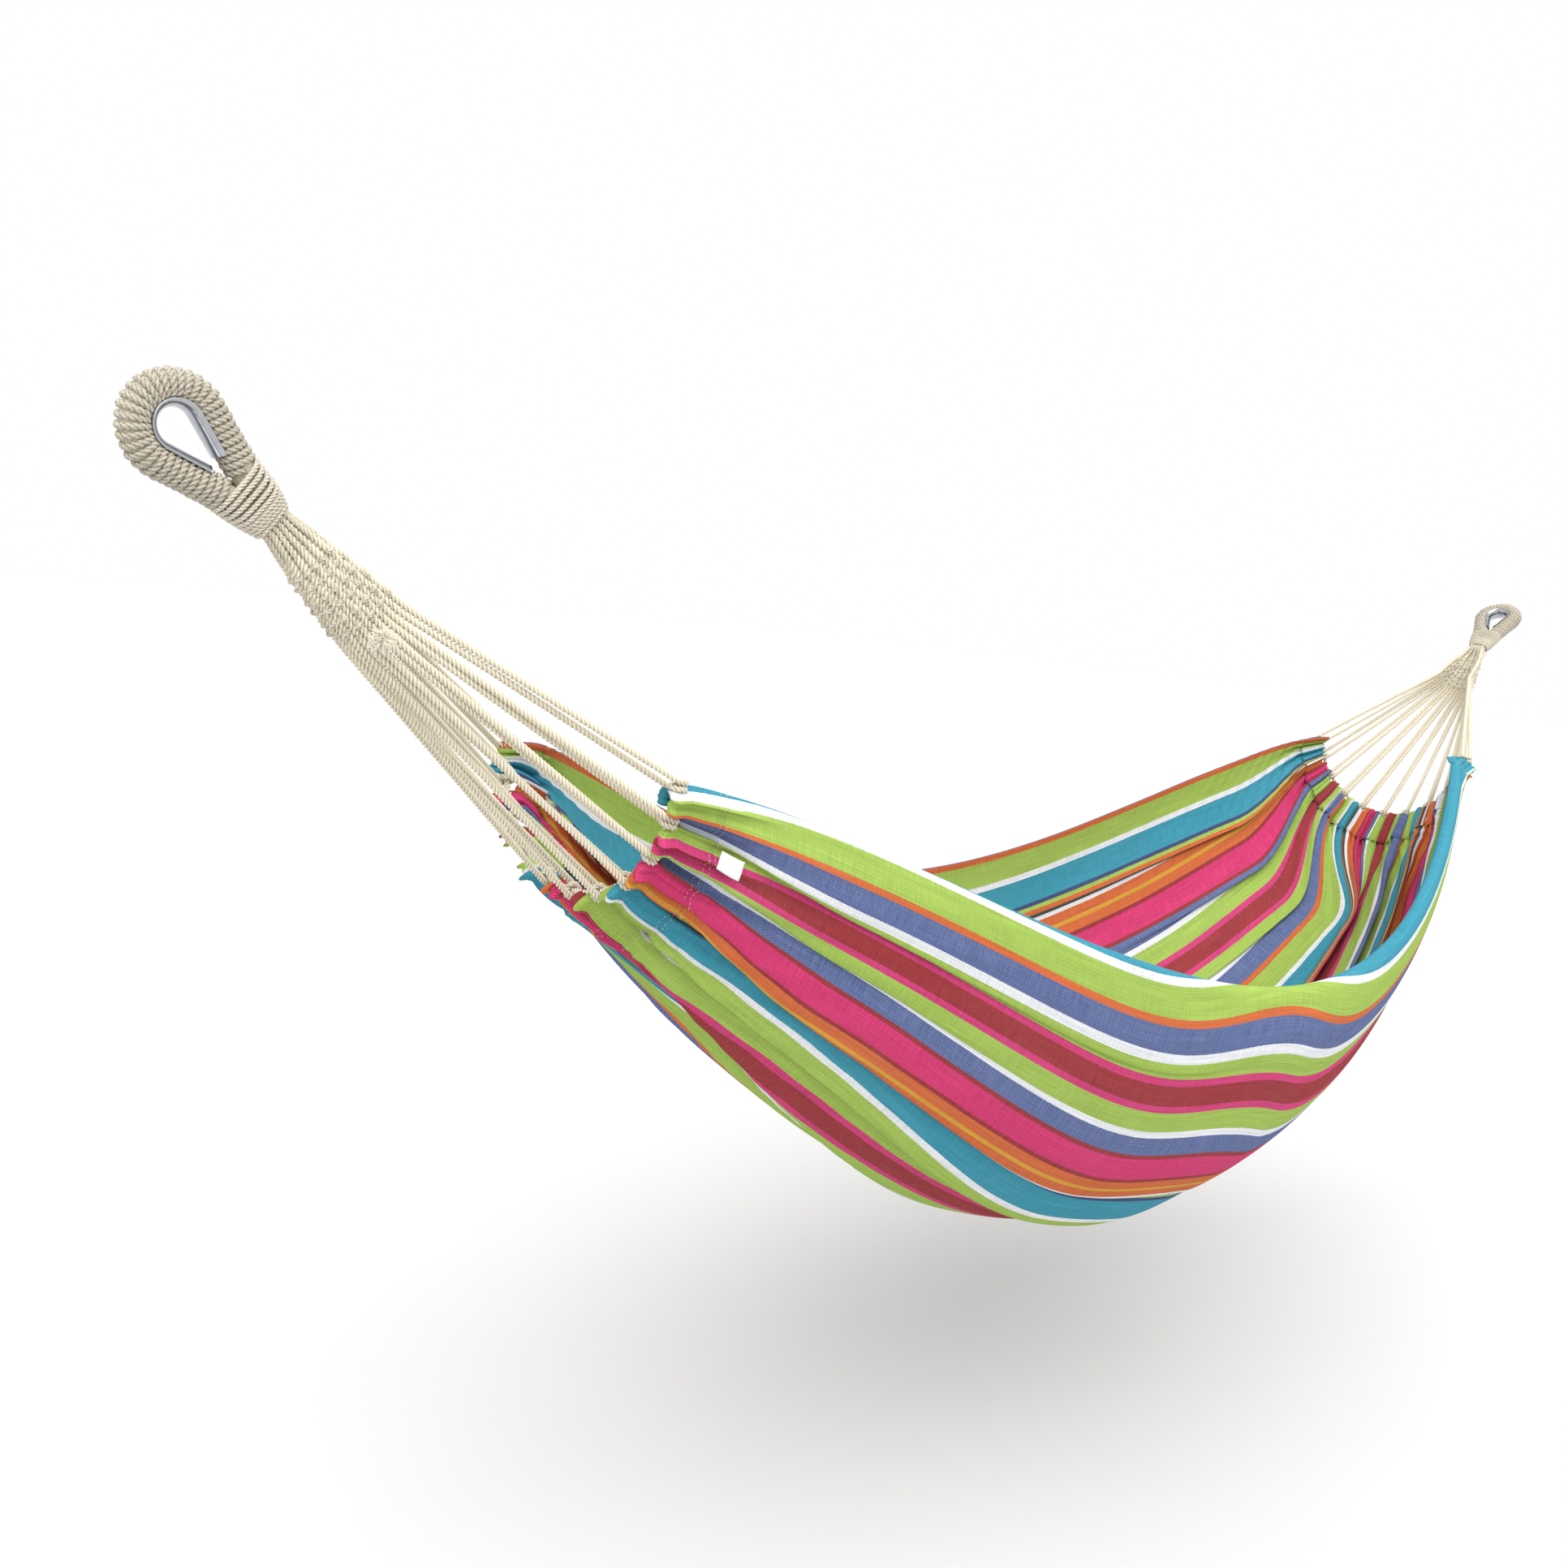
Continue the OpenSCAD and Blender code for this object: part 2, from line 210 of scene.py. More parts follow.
@dataclass
class MeshParts:
    """Vertices, quads and texture coordinates that are gathered into one mesh."""

    vertices: list[Vec] = field(default_factory=list)
    quads: list[Vec] = field(default_factory=list)
    uvs: list[Vec] = field(default_factory=list)
    count: int = 0

    def add_grid(self, grid: Vec, uv: Vec, wrap: bool = False, caps: bool = False) -> None:
        """Add a grid of points as quads.

        Args:
            grid: Points in rows and columns.
            uv: Texture coordinates, with one more column than the grid when it wraps.
            wrap: Whether each row closes on itself.
            caps: Whether both open ends of a wrapped grid are closed by a fan of quads.
        """
        rows, columns = grid.shape[:2]
        spans = columns if wrap else columns - 1
        r = np.arange(rows - 1)[:, None]
        c = np.arange(spans)[None, :]
        after = (c + 1) % columns
        start = self.count
        corners = [r * columns + c, r * columns + after, (r + 1) * columns + after, (r + 1) * columns + c]
        self.quads.append(start + np.stack([np.broadcast_to(x, (rows - 1, spans)) for x in corners], -1).reshape(-1, 4))
        self.uvs.append(
            np.stack([uv[:-1, :-1], uv[:-1, 1:], uv[1:, 1:], uv[1:, :-1]], axis=2).reshape(-1, 2)
        )
        self.vertices.append(grid.reshape(-1, 3))
        self.count += rows * columns
        if caps:
            self._cap(start, columns, uv[0, 0])
            self._cap(start + (rows - 1) * columns, columns, uv[-1, 0])

    def _cap(self, start: int, columns: int, uv: Vec) -> None:
        """Close one end ring of a tube with quads across it."""
        half = columns // 2
        quads = [[start + i, start + i + 1, start + columns - 2 - i, start + columns - 1 - i] for i in range(half - 1)]
        self.quads.append(np.array(quads))
        self.uvs.append(np.tile(uv, (4 * len(quads), 1)))

    def build(self, name: str, smooth: bool = True) -> bpy.types.Object:
        """Make the mesh object.

        Args:
            name: The piece's name.
            smooth: Whether its faces are shaded smooth.

        Returns:
            The new object, linked to the scene.
        """
        vertices = np.concatenate(self.vertices)
        quads = np.concatenate(self.quads)
        mesh = bpy.data.meshes.new(name)
        mesh.vertices.add(len(vertices))
        mesh.vertices.foreach_set("co", vertices.astype(np.float32).ravel())
        mesh.loops.add(quads.size)
        mesh.loops.foreach_set("vertex_index", quads.astype(np.int32).ravel())
        mesh.polygons.add(len(quads))
        mesh.polygons.foreach_set("loop_start", np.arange(0, quads.size, 4, dtype=np.int32))
        mesh.polygons.foreach_set("use_smooth", np.full(len(quads), smooth))
        layer = mesh.uv_layers.new(name="UVMap")
        layer.data.foreach_set("uv", np.concatenate(self.uvs).astype(np.float32).ravel())
        mesh.update(calc_edges=True)
        mesh.validate()
        piece = bpy.data.objects.new(name, mesh)
        bpy.context.scene.collection.objects.link(piece)
        return piece


@dataclass(frozen=True)
class LaidCord:
    """A cord of three strands laid together.

    Attributes:
        radius: The cord's own radius.
        lay: Length of one turn of its strands, in radii.
        detail: Rings in one turn of the strands.
    """

    radius: float
    lay: float = 3.8
    detail: int = 8

    STRANDS = 3
    POINTS = 4

    def outline(self) -> tuple[Vec, Vec]:
        """Return the section's angles and radii, as shares of the cord's radius."""
        part = np.array([-60.0, -36.0, 0.0, 36.0])
        offset, strand = 0.5, 0.53
        angles = np.radians(np.concatenate([part + 120 * k for k in range(self.STRANDS)]))
        off_axis = np.radians(part)
        reach = offset * np.cos(off_axis) + np.sqrt(strand**2 - (offset * np.sin(off_axis)) ** 2)
        reach[0] *= 0.9
        return angles, np.tile(reach, self.STRANDS)

    def add(self, parts: MeshParts, path: Vec, radii: Optional[Vec] = None, phase: float = 0.0) -> None:
        """Add the cord along a path.

        Args:
            parts: The mesh that is being gathered.
            path: The cord's centre line.
            radii: The cord's radius at each point, where it changes.
            phase: Turn of the strands at the start.
        """
        step = self.radius * self.lay / self.detail
        given = np.full(len(path), self.radius) if radii is None else radii
        points, thick = resample(path, step, given)
        heading, side, up = carried_frames(points)
        angles, reach = self.outline()
        travel = np.arange(len(points)) * (path_length(points) / (len(points) - 1))
        turn = phase + 2 * math.pi * travel / (self.radius * self.lay)
        a = turn[:, None] + angles[None, :]
        r = thick[:, None] * reach[None, :]
        grid = (
            points[:, None, :]
            + (r * np.cos(a))[..., None] * side[:, None, :]
            + (r * np.sin(a))[..., None] * up[:, None, :]
        )
        columns = len(angles)
        u = np.broadcast_to(np.arange(columns + 1) / self.POINTS, (len(points), columns + 1))
        v = np.broadcast_to(travel[:, None], u.shape)
        parts.add_grid(grid, np.stack([u, v], -1), wrap=True, caps=True)


def add_fibre(parts: MeshParts, path: Vec, radius: float) -> None:
    """Add one fine fibre of three sides along a path."""
    heading, side, up = carried_frames(path)
    a = 2 * math.pi * np.arange(4) / 4
    taper = np.linspace(1.0, 0.35, len(path))[:, None, None] * radius
    ring = np.cos(a)[None, :, None] * side[:, None, :] + np.sin(a)[None, :, None] * up[:, None, :]
    grid = path[:, None, :] + taper * ring
    uv = np.full((len(path), 5, 2), 0.5)
    parts.add_grid(grid, uv, wrap=True, caps=True)


# ---------- shader maths ----------


class Socket:
    """One shader value, with the arithmetic that joins it to others through Math nodes."""

    def __init__(self, graph: "Graph", link: bpy.types.NodeSocket) -> None:
        """Hold the output that this value comes from."""
        self.graph = graph
        self.link = link

    def _math(self, operation: str, *values: Union["Socket", Number]) -> "Socket":
        """Return the result of one Math node."""
        inputs = {i: v for i, v in enumerate(values)}
        return self.graph.node("ShaderNodeMath", {"operation": operation}, inputs)

    def __add__(self, other: Union["Socket", Number]) -> "Socket":
        """Return the sum."""
        return self._math("ADD", self, other)

    def __radd__(self, other: Number) -> "Socket":
        """Return the sum."""
        return self._math("ADD", other, self)

    def __sub__(self, other: Union["Socket", Number]) -> "Socket":
        """Return the difference."""
        return self._math("SUBTRACT", self, other)

    def __rsub__(self, other: Number) -> "Socket":
        """Return the difference."""
        return self._math("SUBTRACT", other, self)

    def __mul__(self, other: Union["Socket", Number]) -> "Socket":
        """Return the product."""
        return self._math("MULTIPLY", self, other)

    def __rmul__(self, other: Number) -> "Socket":
        """Return the product."""
        return self._math("MULTIPLY", other, self)

    def __truediv__(self, other: Union["Socket", Number]) -> "Socket":
        """Return the quotient."""
        return self._math("DIVIDE", self, other)

    def __rtruediv__(self, other: Number) -> "Socket":
        """Return the quotient."""
        return self._math("DIVIDE", other, self)

    def __pow__(self, other: Union["Socket", Number]) -> "Socket":
        """Return the power."""
        return self._math("POWER", self, other)

    def fraction(self) -> "Socket":
        """Return the part after the decimal point."""
        return self._math("FRACT", self)

    def sine(self) -> "Socket":
        """Return the sine."""
        return self._math("SINE", self)

    def above(self, level: Number) -> "Socket":
        """Return 1 where the value is above a level, and 0 elsewhere."""
        return self._math("GREATER_THAN", self, level)

    def size(self) -> "Socket":
        """Return the value without its sign."""
        return self._math("ABSOLUTE", self)


class Graph:
    """The node tree of one material."""

    def __init__(self, name: str) -> None:
        """Start an empty material."""
        self.material = bpy.data.materials.new(name)
        self.material.use_nodes = True
        self.tree = self.material.node_tree
        self.tree.nodes.clear()

    def node(
        self,
        kind: str,
        settings: Optional[dict[str, Any]] = None,
        inputs: Optional[dict[Union[int, str], Any]] = None,
        output: Union[int, str] = 0,
    ) -> Socket:
        """Add one node.

        Args:
            kind: The node's type.
            settings: Its settings, which are set first.
            inputs: Values or links of its input sockets, by index or name.
            output: Which of its outputs is wanted.

        Returns:
            The wanted output.
        """
        made = self.tree.nodes.new(kind)
        for key, value in (settings or {}).items():
            setattr(made, key, value)
        for key, value in (inputs or {}).items():
            if isinstance(value, Socket):
                self.tree.links.new(value.link, made.inputs[key])
            else:
                made.inputs[key].default_value = value
        return Socket(self, made.outputs[output])

    def texture_place(self) -> tuple[Socket, Socket, Socket]:
        """Return the texture coordinate as a vector, and its two parts."""
        place = self.node("ShaderNodeTexCoord", output="UV")
        return place, self.node("ShaderNodeSeparateXYZ", inputs={0: place}), self.node(
            "ShaderNodeSeparateXYZ", inputs={0: place}, output=1
        )

    def object_place(self) -> Socket:
        """Return the place in the object's own frame."""
        return self.node("ShaderNodeTexCoord", output="Object")

    def scaled(self, place: Socket, scale: Sequence[float]) -> Socket:
        """Return a place with each of its parts scaled."""
        return self.node("ShaderNodeVectorMath", {"operation": "MULTIPLY"}, {0: place, 1: tuple(scale)})

    def noise(self, place: Socket, scale: float, detail: float = 2.0, roughness: float = 0.5) -> Socket:
        """Return a noise value at a place."""
        return self.node(
            "ShaderNodeTexNoise", None, {"Vector": place, "Scale": scale, "Detail": detail, "Roughness": roughness}
        )

    def mix(self, share: Union[Socket, Number], first: Any, second: Any, blend: str = "MIX") -> Socket:
        """Return a mix of two colours.

        Args:
            share: How much of the second colour there is.
            first: The first colour.
            second: The second colour.
            blend: How the second colour acts on the first.

        Returns:
            The mixed colour.
        """
        return self.node(
            "ShaderNodeMix", {"data_type": "RGBA", "blend_type": blend}, {0: share, 6: first, 7: second}, output=2
        )

    def bump(self, height: Socket, distance: float, strength: float = 1.0) -> Socket:
        """Return the normal that a height map gives."""
        return self.node("ShaderNodeBump", None, {"Height": height, "Distance": distance, "Strength": strength})

    def surface(self, inputs: dict[str, Any]) -> bpy.types.Material:
        """Finish the material with one surface shader.

        Args:
            inputs: The shader's values and links, by socket name.

        Returns:
            The material.
        """
        shader = self.node("ShaderNodeBsdfPrincipled", None, inputs)
        end = self.tree.nodes.new("ShaderNodeOutputMaterial")
        self.tree.links.new(shader.link, end.inputs["Surface"])
        return self.material


def linear(red: int, green: int, blue: int, gain: float = 1.0) -> tuple[float, float, float, float]:
    """Return a display colour as linear light, scaled by a gain."""
    parts = [c / 255 for c in (red, green, blue)]
    lit = [gain * (c / 12.92 if c <= 0.04045 else ((c + 0.055) / 1.055) ** 2.4) for c in parts]
    return (lit[0], lit[1], lit[2], 1.0)


def grey(value: float) -> tuple[float, float, float, float]:
    """Return a neutral colour."""
    return (value, value, value, 1.0)


# ---------- finishes ----------


@dataclass(frozen=True)
class CordFinish:
    """Undyed laid cotton cord.

    Attributes:
        name: The material's name.
        light: Colour of the strands' crowns.
        soil_and_groove_shade: A darker, greyer tone, used in soft soil patches and as painted shade in the grooves
            between the strands.
        soil: Share of a darker, greyer tone in soft patches.
    """

    name: str
    light: tuple[float, float, float, float]
    soil_and_groove_shade: tuple[float, float, float, float]
    soil: float = 0.25

    def build(self) -> bpy.types.Material:
        """Return the material."""
        g = Graph(self.name)
        place, around, along = g.texture_place()
        # Mask of the grooves between the strands, where shade is painted in below.
        groove_shade_mask = ((around.fraction() - 0.5).size() * 2) ** 3
        patches = g.noise(g.object_place(), 34, 3)
        yarn = g.noise(g.scaled(place, (14, 260, 1)), 1.0, 2)
        worn = g.mix(patches * self.soil, self.light, self.soil_and_groove_shade)
        toned = g.mix(yarn * 0.3, worn, self.soil_and_groove_shade)
        # Painted shade: the grooves between the strands are darkened toward the darker tone.
        colour = g.mix(groove_shade_mask * 0.75, toned, self.soil_and_groove_shade)
        twist = (around * 4 * 2 * math.pi + along * 2600).sine()
        fuzz = g.noise(g.object_place(), 2400, 2)
        height = twist * 0.35 + yarn * 0.8 + fuzz * 0.5
        return g.surface(
            {
                "Base Color": colour,
                "Roughness": 0.92,
                "Specular IOR Level": 0.15,
                "Normal": g.bump(height, 0.0005, 0.8),
            }
        )


@dataclass(frozen=True)
class SteelFinish:
    """Polished stainless steel with fine wear."""

    name: str = "polished_steel"

    def build(self) -> bpy.types.Material:
        """Return the material."""
        g = Graph(self.name)
        spots = g.noise(g.object_place(), 160, 4, 0.6)
        scratches = g.noise(g.scaled(g.object_place(), (300, 2400, 2400)), 1.0, 3)
        smudged = 0.06 + spots * 0.16
        colour = g.mix(spots, linear(196, 198, 202), linear(150, 152, 156))
        return g.surface(
            {
                "Base Color": colour,
                "Metallic": 1.0,
                "Roughness": smudged,
                "Normal": g.bump(scratches, 0.00005, 0.25),
            }
        )


@dataclass(frozen=True)
class Stripe:
    """One stripe of the cloth.

    Attributes:
        width: Its width in millimetres.
        colour: Its dyed colour.
        fleck: Share of white weft that shows through.
    """

    width: float
    colour: tuple[float, float, float, float]
    fleck: float = 0.16


@dataclass(frozen=True)
class StripedWeave:
    """Coarse cotton cloth woven in stripes that repeat across its width."""

    name: str = "striped_cotton"
    thread: float = 0.0024

    CYAN = linear(36, 168, 196, 0.62)
    LIME = linear(178, 213, 80, 0.66)
    ORANGE = linear(240, 112, 28, 0.62)
    DENIM = linear(34, 80, 162, 0.60)
    WHITE = linear(242, 244, 248, 0.78)
    PINK = linear(236, 40, 128, 0.62)
    CRIMSON = linear(178, 2, 26, 0.58)
    MAGENTA = linear(236, 16, 116, 0.64)
    YELLOW = linear(246, 180, 20, 0.62)
    OLIVE = linear(66, 66, 54, 0.62)
    NAVY = linear(48, 70, 130, 0.62)

    def stripes(self) -> list[Stripe]:
        """Return one repeat of the stripes."""
        orders = (
            (43, self.CYAN), (10, self.WHITE), (39, self.LIME), (10, self.ORANGE), (34, self.DENIM),
            (13, self.WHITE), (33, self.LIME), (9, self.PINK), (30, self.CRIMSON), (9, self.PINK),
            (33, self.LIME), (10, self.WHITE), (26, self.DENIM), (7, self.CRIMSON), (39, self.MAGENTA),
            (7, self.CRIMSON), (17, self.ORANGE), (7, self.YELLOW), (17, self.ORANGE), (7, self.WHITE),
            (9, self.OLIVE), (9, self.ORANGE), (7, self.LIME), (7, self.NAVY),
        )
        return [Stripe(width, colour, 0.42 if colour == self.DENIM else 0.12) for width, colour in orders]

    def ramp(self, g: Graph, place: Socket, colours: list[Any], edges: list[float]) -> Socket:
        """Return a colour that steps at each stripe's edge.

        Args:
            g: The material's nodes.
            place: Place in the repeat, from 0 to 1.
            colours: The colour of each stripe.
            edges: Where each stripe starts.

        Returns:
            The stepped colour.
        """
        out = g.node("ShaderNodeValToRGB", None, {0: place})
        bands = out.link.node.color_ramp
        bands.interpolation = "CONSTANT"
        bands.elements[0].position = 0.0
        bands.elements[0].color = colours[0]
        bands.elements[1].position = edges[1]
        bands.elements[1].color = colours[1]
        for edge, colour in zip(edges[2:], colours[2:]):
            bands.elements.new(edge).color = colour
        return out

    def build(self) -> bpy.types.Material:
        """Return the material."""
        g = Graph(self.name)
        place, across, along = g.texture_place()
        stripes = self.stripes()
        repeat = sum(s.width for s in stripes)
        edges = [sum(s.width for s in stripes[:i]) / repeat for i in range(len(stripes))]
        ragged = g.noise(g.scaled(place, (60, 420, 1)), 1.0, 1) - 0.5
        in_repeat = ((across + ragged * 0.0016) / (repeat * MM)).fraction()
        dyed = self.ramp(g, in_repeat, [s.colour for s in stripes], edges)
        fleck_share = self.ramp(g, in_repeat, [grey(s.fleck) for s in stripes], edges)
        warp = (across * (2 * math.pi / self.thread)).sine()
        weft = (along * (2 * math.pi / self.thread)).sine()
        crossing = warp * weft
        slubs = g.noise(g.scaled(place, (520, 9, 1)), 1.0, 3)
        picks = g.noise(g.scaled(place, (30, 620, 1)), 1.0, 2)
        wear = g.noise(g.scaled(place, (5, 4, 1)), 1.0, 4)
        fleck = crossing.above(0.25) * fleck_share * (0.4 + 1.2 * picks)
        flecked = g.mix(fleck, dyed, self.WHITE)
        streaked = g.mix(0.8, flecked, g.mix(slubs, grey(0.55), grey(1.45)), "MULTIPLY")
        banded = g.mix(0.6, streaked, g.mix(picks, grey(0.6), grey(1.4)), "MULTIPLY")
        faded = g.mix(wear * 0.05, banded, grey(0.6))
        height = crossing * 0.5 + slubs * 0.9 + picks * 0.8
        return g.surface(
            {
                "Base Color": faded,
                "Roughness": 0.95,
                "Specular IOR Level": 0.12,
                "Normal": g.bump(height, 0.0007, 0.7),
            }
        )


@dataclass(frozen=True)
class PlainFabric:
    """Plain woven tape or thread of one colour."""

    name: str
    colour: tuple[float, float, float, float]
    thread: float = 0.0009

    def build(self) -> bpy.types.Material:
        """Return the material."""
        g = Graph(self.name)
        place, across, along = g.texture_place()
        pitch = 2 * math.pi / self.thread
        weave = (across * pitch).sine() * (along * pitch).sine()
        patches = g.noise(g.object_place(), 90, 3)
        colour = g.mix(patches * 0.25, self.colour, grey(0.55))
        return g.surface(
            {
                "Base Color": colour,
                "Roughness": 0.85,
                "Specular IOR Level": 0.2,
                "Normal": g.bump(weave + patches * 0.5, 0.0003, 0.6),
            }
        )


@dataclass(frozen=True)
class Finishes:
    """The materials of the hammock, made once."""

    rope: bpy.types.Material
    bundle: bpy.types.Material
    serving: bpy.types.Material
    lashing: bpy.types.Material
    cloth: bpy.types.Material
    steel: bpy.types.Material
    thread: bpy.types.Material
    label: bpy.types.Material

    @classmethod
    def make(cls) -> "Finishes":
        """Return the set of materials."""
        return cls(
            rope=CordFinish("cotton_rope", linear(244, 239, 220, 0.95), linear(196, 178, 146, 0.9)).build(),
            bundle=PlainFabric("rope_bundle", linear(214, 204, 178, 0.8), 0.0032).build(),
            serving=CordFinish("serving_cord", linear(228, 221, 205, 0.85), linear(178, 166, 142, 0.85)).build(),
            lashing=CordFinish("lashing_cord", linear(248, 245, 232, 0.97), linear(196, 172, 136, 0.9)).build(),
            cloth=StripedWeave().build(),
            steel=SteelFinish().build(),
            thread=PlainFabric("white_thread", linear(214, 214, 208, 0.8)).build(),
            label=PlainFabric("blank_tape", linear(240, 242, 244)).build(),
        )


def dress(
    piece: bpy.types.Object,
    material: bpy.types.Material,
    body: Optional[Body] = None,
    stands_for: Sequence[str] = (),
) -> bpy.types.Object:
    """Give a piece its material and its body, and hide the CAD nodes that it stands for.

    Args:
        piece: The piece.
        material: Its material.
        body: The body that it rides on, if it rides on one.
        stands_for: The CAD nodes that it replaces.

    Returns:
        The piece.
    """
    piece.data.materials.clear()
    piece.data.materials.append(material)
    if body is not None:
        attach(piece, body.value)
    if stands_for:
        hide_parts(*stands_for)
    log.info("made %s", piece.name)
    return piece


# ---------- one end's directions ----------


@dataclass(frozen=True)
class EndFrame:
    """Directions at one end: along the rope line from the eye, across, and above it."""

    end: End

    @property
    def mirror(self) -> bool:
        """Return whether this end is the mirror image of the first."""
        return self.end is End.B

    def place(self, points: Vec) -> Vec:
        """Turn points of the first end into this end's points.

        Args:
            points: Points at the first end, one row each.

        Returns:
            The same points at this end.
        """
        out = np.array(points, float)
        if self.mirror:
            out[..., 0] = SIZES.hung_span - out[..., 0]
        return out

    def at(self, along: Any, across: Any, above: Any) -> Vec:
        """Return points from distances along, across and above the rope line.

        Args:
            along: Distance from the eye's centre along the line.
            across: Distance across the bed.
            above: Distance above the line.

        Returns:
            The points in the shared frame.
        """
        c, s = math.cos(SIZES.eye_tilt), math.sin(SIZES.eye_tilt)
        along, across, above = np.broadcast_arrays(along, across, above)
        return self.place(np.stack([along * c + above * s, across, -along * s + above * c], axis=-1))

    def in_eye(self, local: Vec) -> Vec:
        """Return points given in the eye's own plane.

        Args:
            local: X along the eye, Y across its legs and Z through its opening.

        Returns:
            The points in the shared frame.
        """
        if self.mirror:
            return self.at(local[..., 0], local[..., 1], local[..., 2])
        return self.at(local[..., 0], -local[..., 2], local[..., 1])


# ---------- the bed's smooth shape ----------


@dataclass(frozen=True)
class BedShape:
    """The smooth outer shape of the hung bed, as in the CAD."""

    hem_half_width: float = 0.135
    hem_drop: float = 0.262
    hem_depth: float = 0.124
    mid_half_width: float = 0.350
    mid_drop: float = 0.502
    mid_depth: float = 0.410
    width_growth: float = 1.11
    drop_growth: float = 1.5
    depth_growth: float = 0.78
    roundness: float = 1.12

    def sizes(self, u: Vec) -> tuple[Vec, Vec, Vec]:
        """Return the half width, the selvedge's drop and the depth at u along the bed."""
        f = np.maximum(0.0, 4 * u * (1 - u))
        width = self.hem_half_width + (self.mid_half_width - self.hem_half_width) * f**self.width_growth
        drop = self.hem_drop + (self.mid_drop - self.hem_drop) * f**self.drop_growth
        depth = self.hem_depth + (self.mid_depth - self.hem_depth) * f**self.depth_growth
        return width, drop, depth

    def hem_ends(self, side: Vec) -> tuple[Vec, Vec]:
        """Return where the hem cords' middles are along the span at an angle across the bed."""
        return (
            SIZES.reach_a - SIZES.hem_bow * np.cos(side),
            SIZES.hung_span - SIZES.reach_b + SIZES.hem_bow * np.cos(side),
        )

    def point(self, t: Vec, side: Vec) -> Vec:
        """Return points of the bed.

        Args:
            t: Place along the cloth, from 0 at the first hem cord to 1 at the second.
            side: Angle across the bed, from -90 degrees at the near selvedge, in radians.

        Returns:
            The points.
        """
        t, side = np.broadcast_arrays(np.asarray(t, float), np.asarray(side, float))
        x0, x1 = self.hem_ends(side)
        x = x0 + (x1 - x0) * t
        gap = SIZES.hem_gap
        u = np.clip((x - x0 - gap) / (x1 - x0 - 2 * gap), 0.0, 1.0)
        width, drop, depth = self.sizes(u)
        round_part = np.maximum(0.0, np.cos(side)) ** self.roundness
        return np.stack([x, width * np.sin(side), -drop - depth * round_part], axis=-1)

    def outward(self, t: Vec, side: Vec) -> Vec:
        """Return the bed's outward normal at places along and across it."""
        limit = math.radians(86)
        side = np.clip(side, -limit, limit)
        t = np.clip(t, 0.012, 0.988)
        e = 1e-4
        run = self.point(t + e, side) - self.point(t - e, side)
        around = self.point(t, side + e) - self.point(t, side - e)
        return unit(np.cross(around, run))

    def hem_line(self, end: End, side: Vec) -> Vec:
        """Return the middle of a hem cord at angles across the bed."""
        return self.point(0.0 if end is End.A else 1.0, side)


BED = BedShape()


# ---------- the eyes ----------


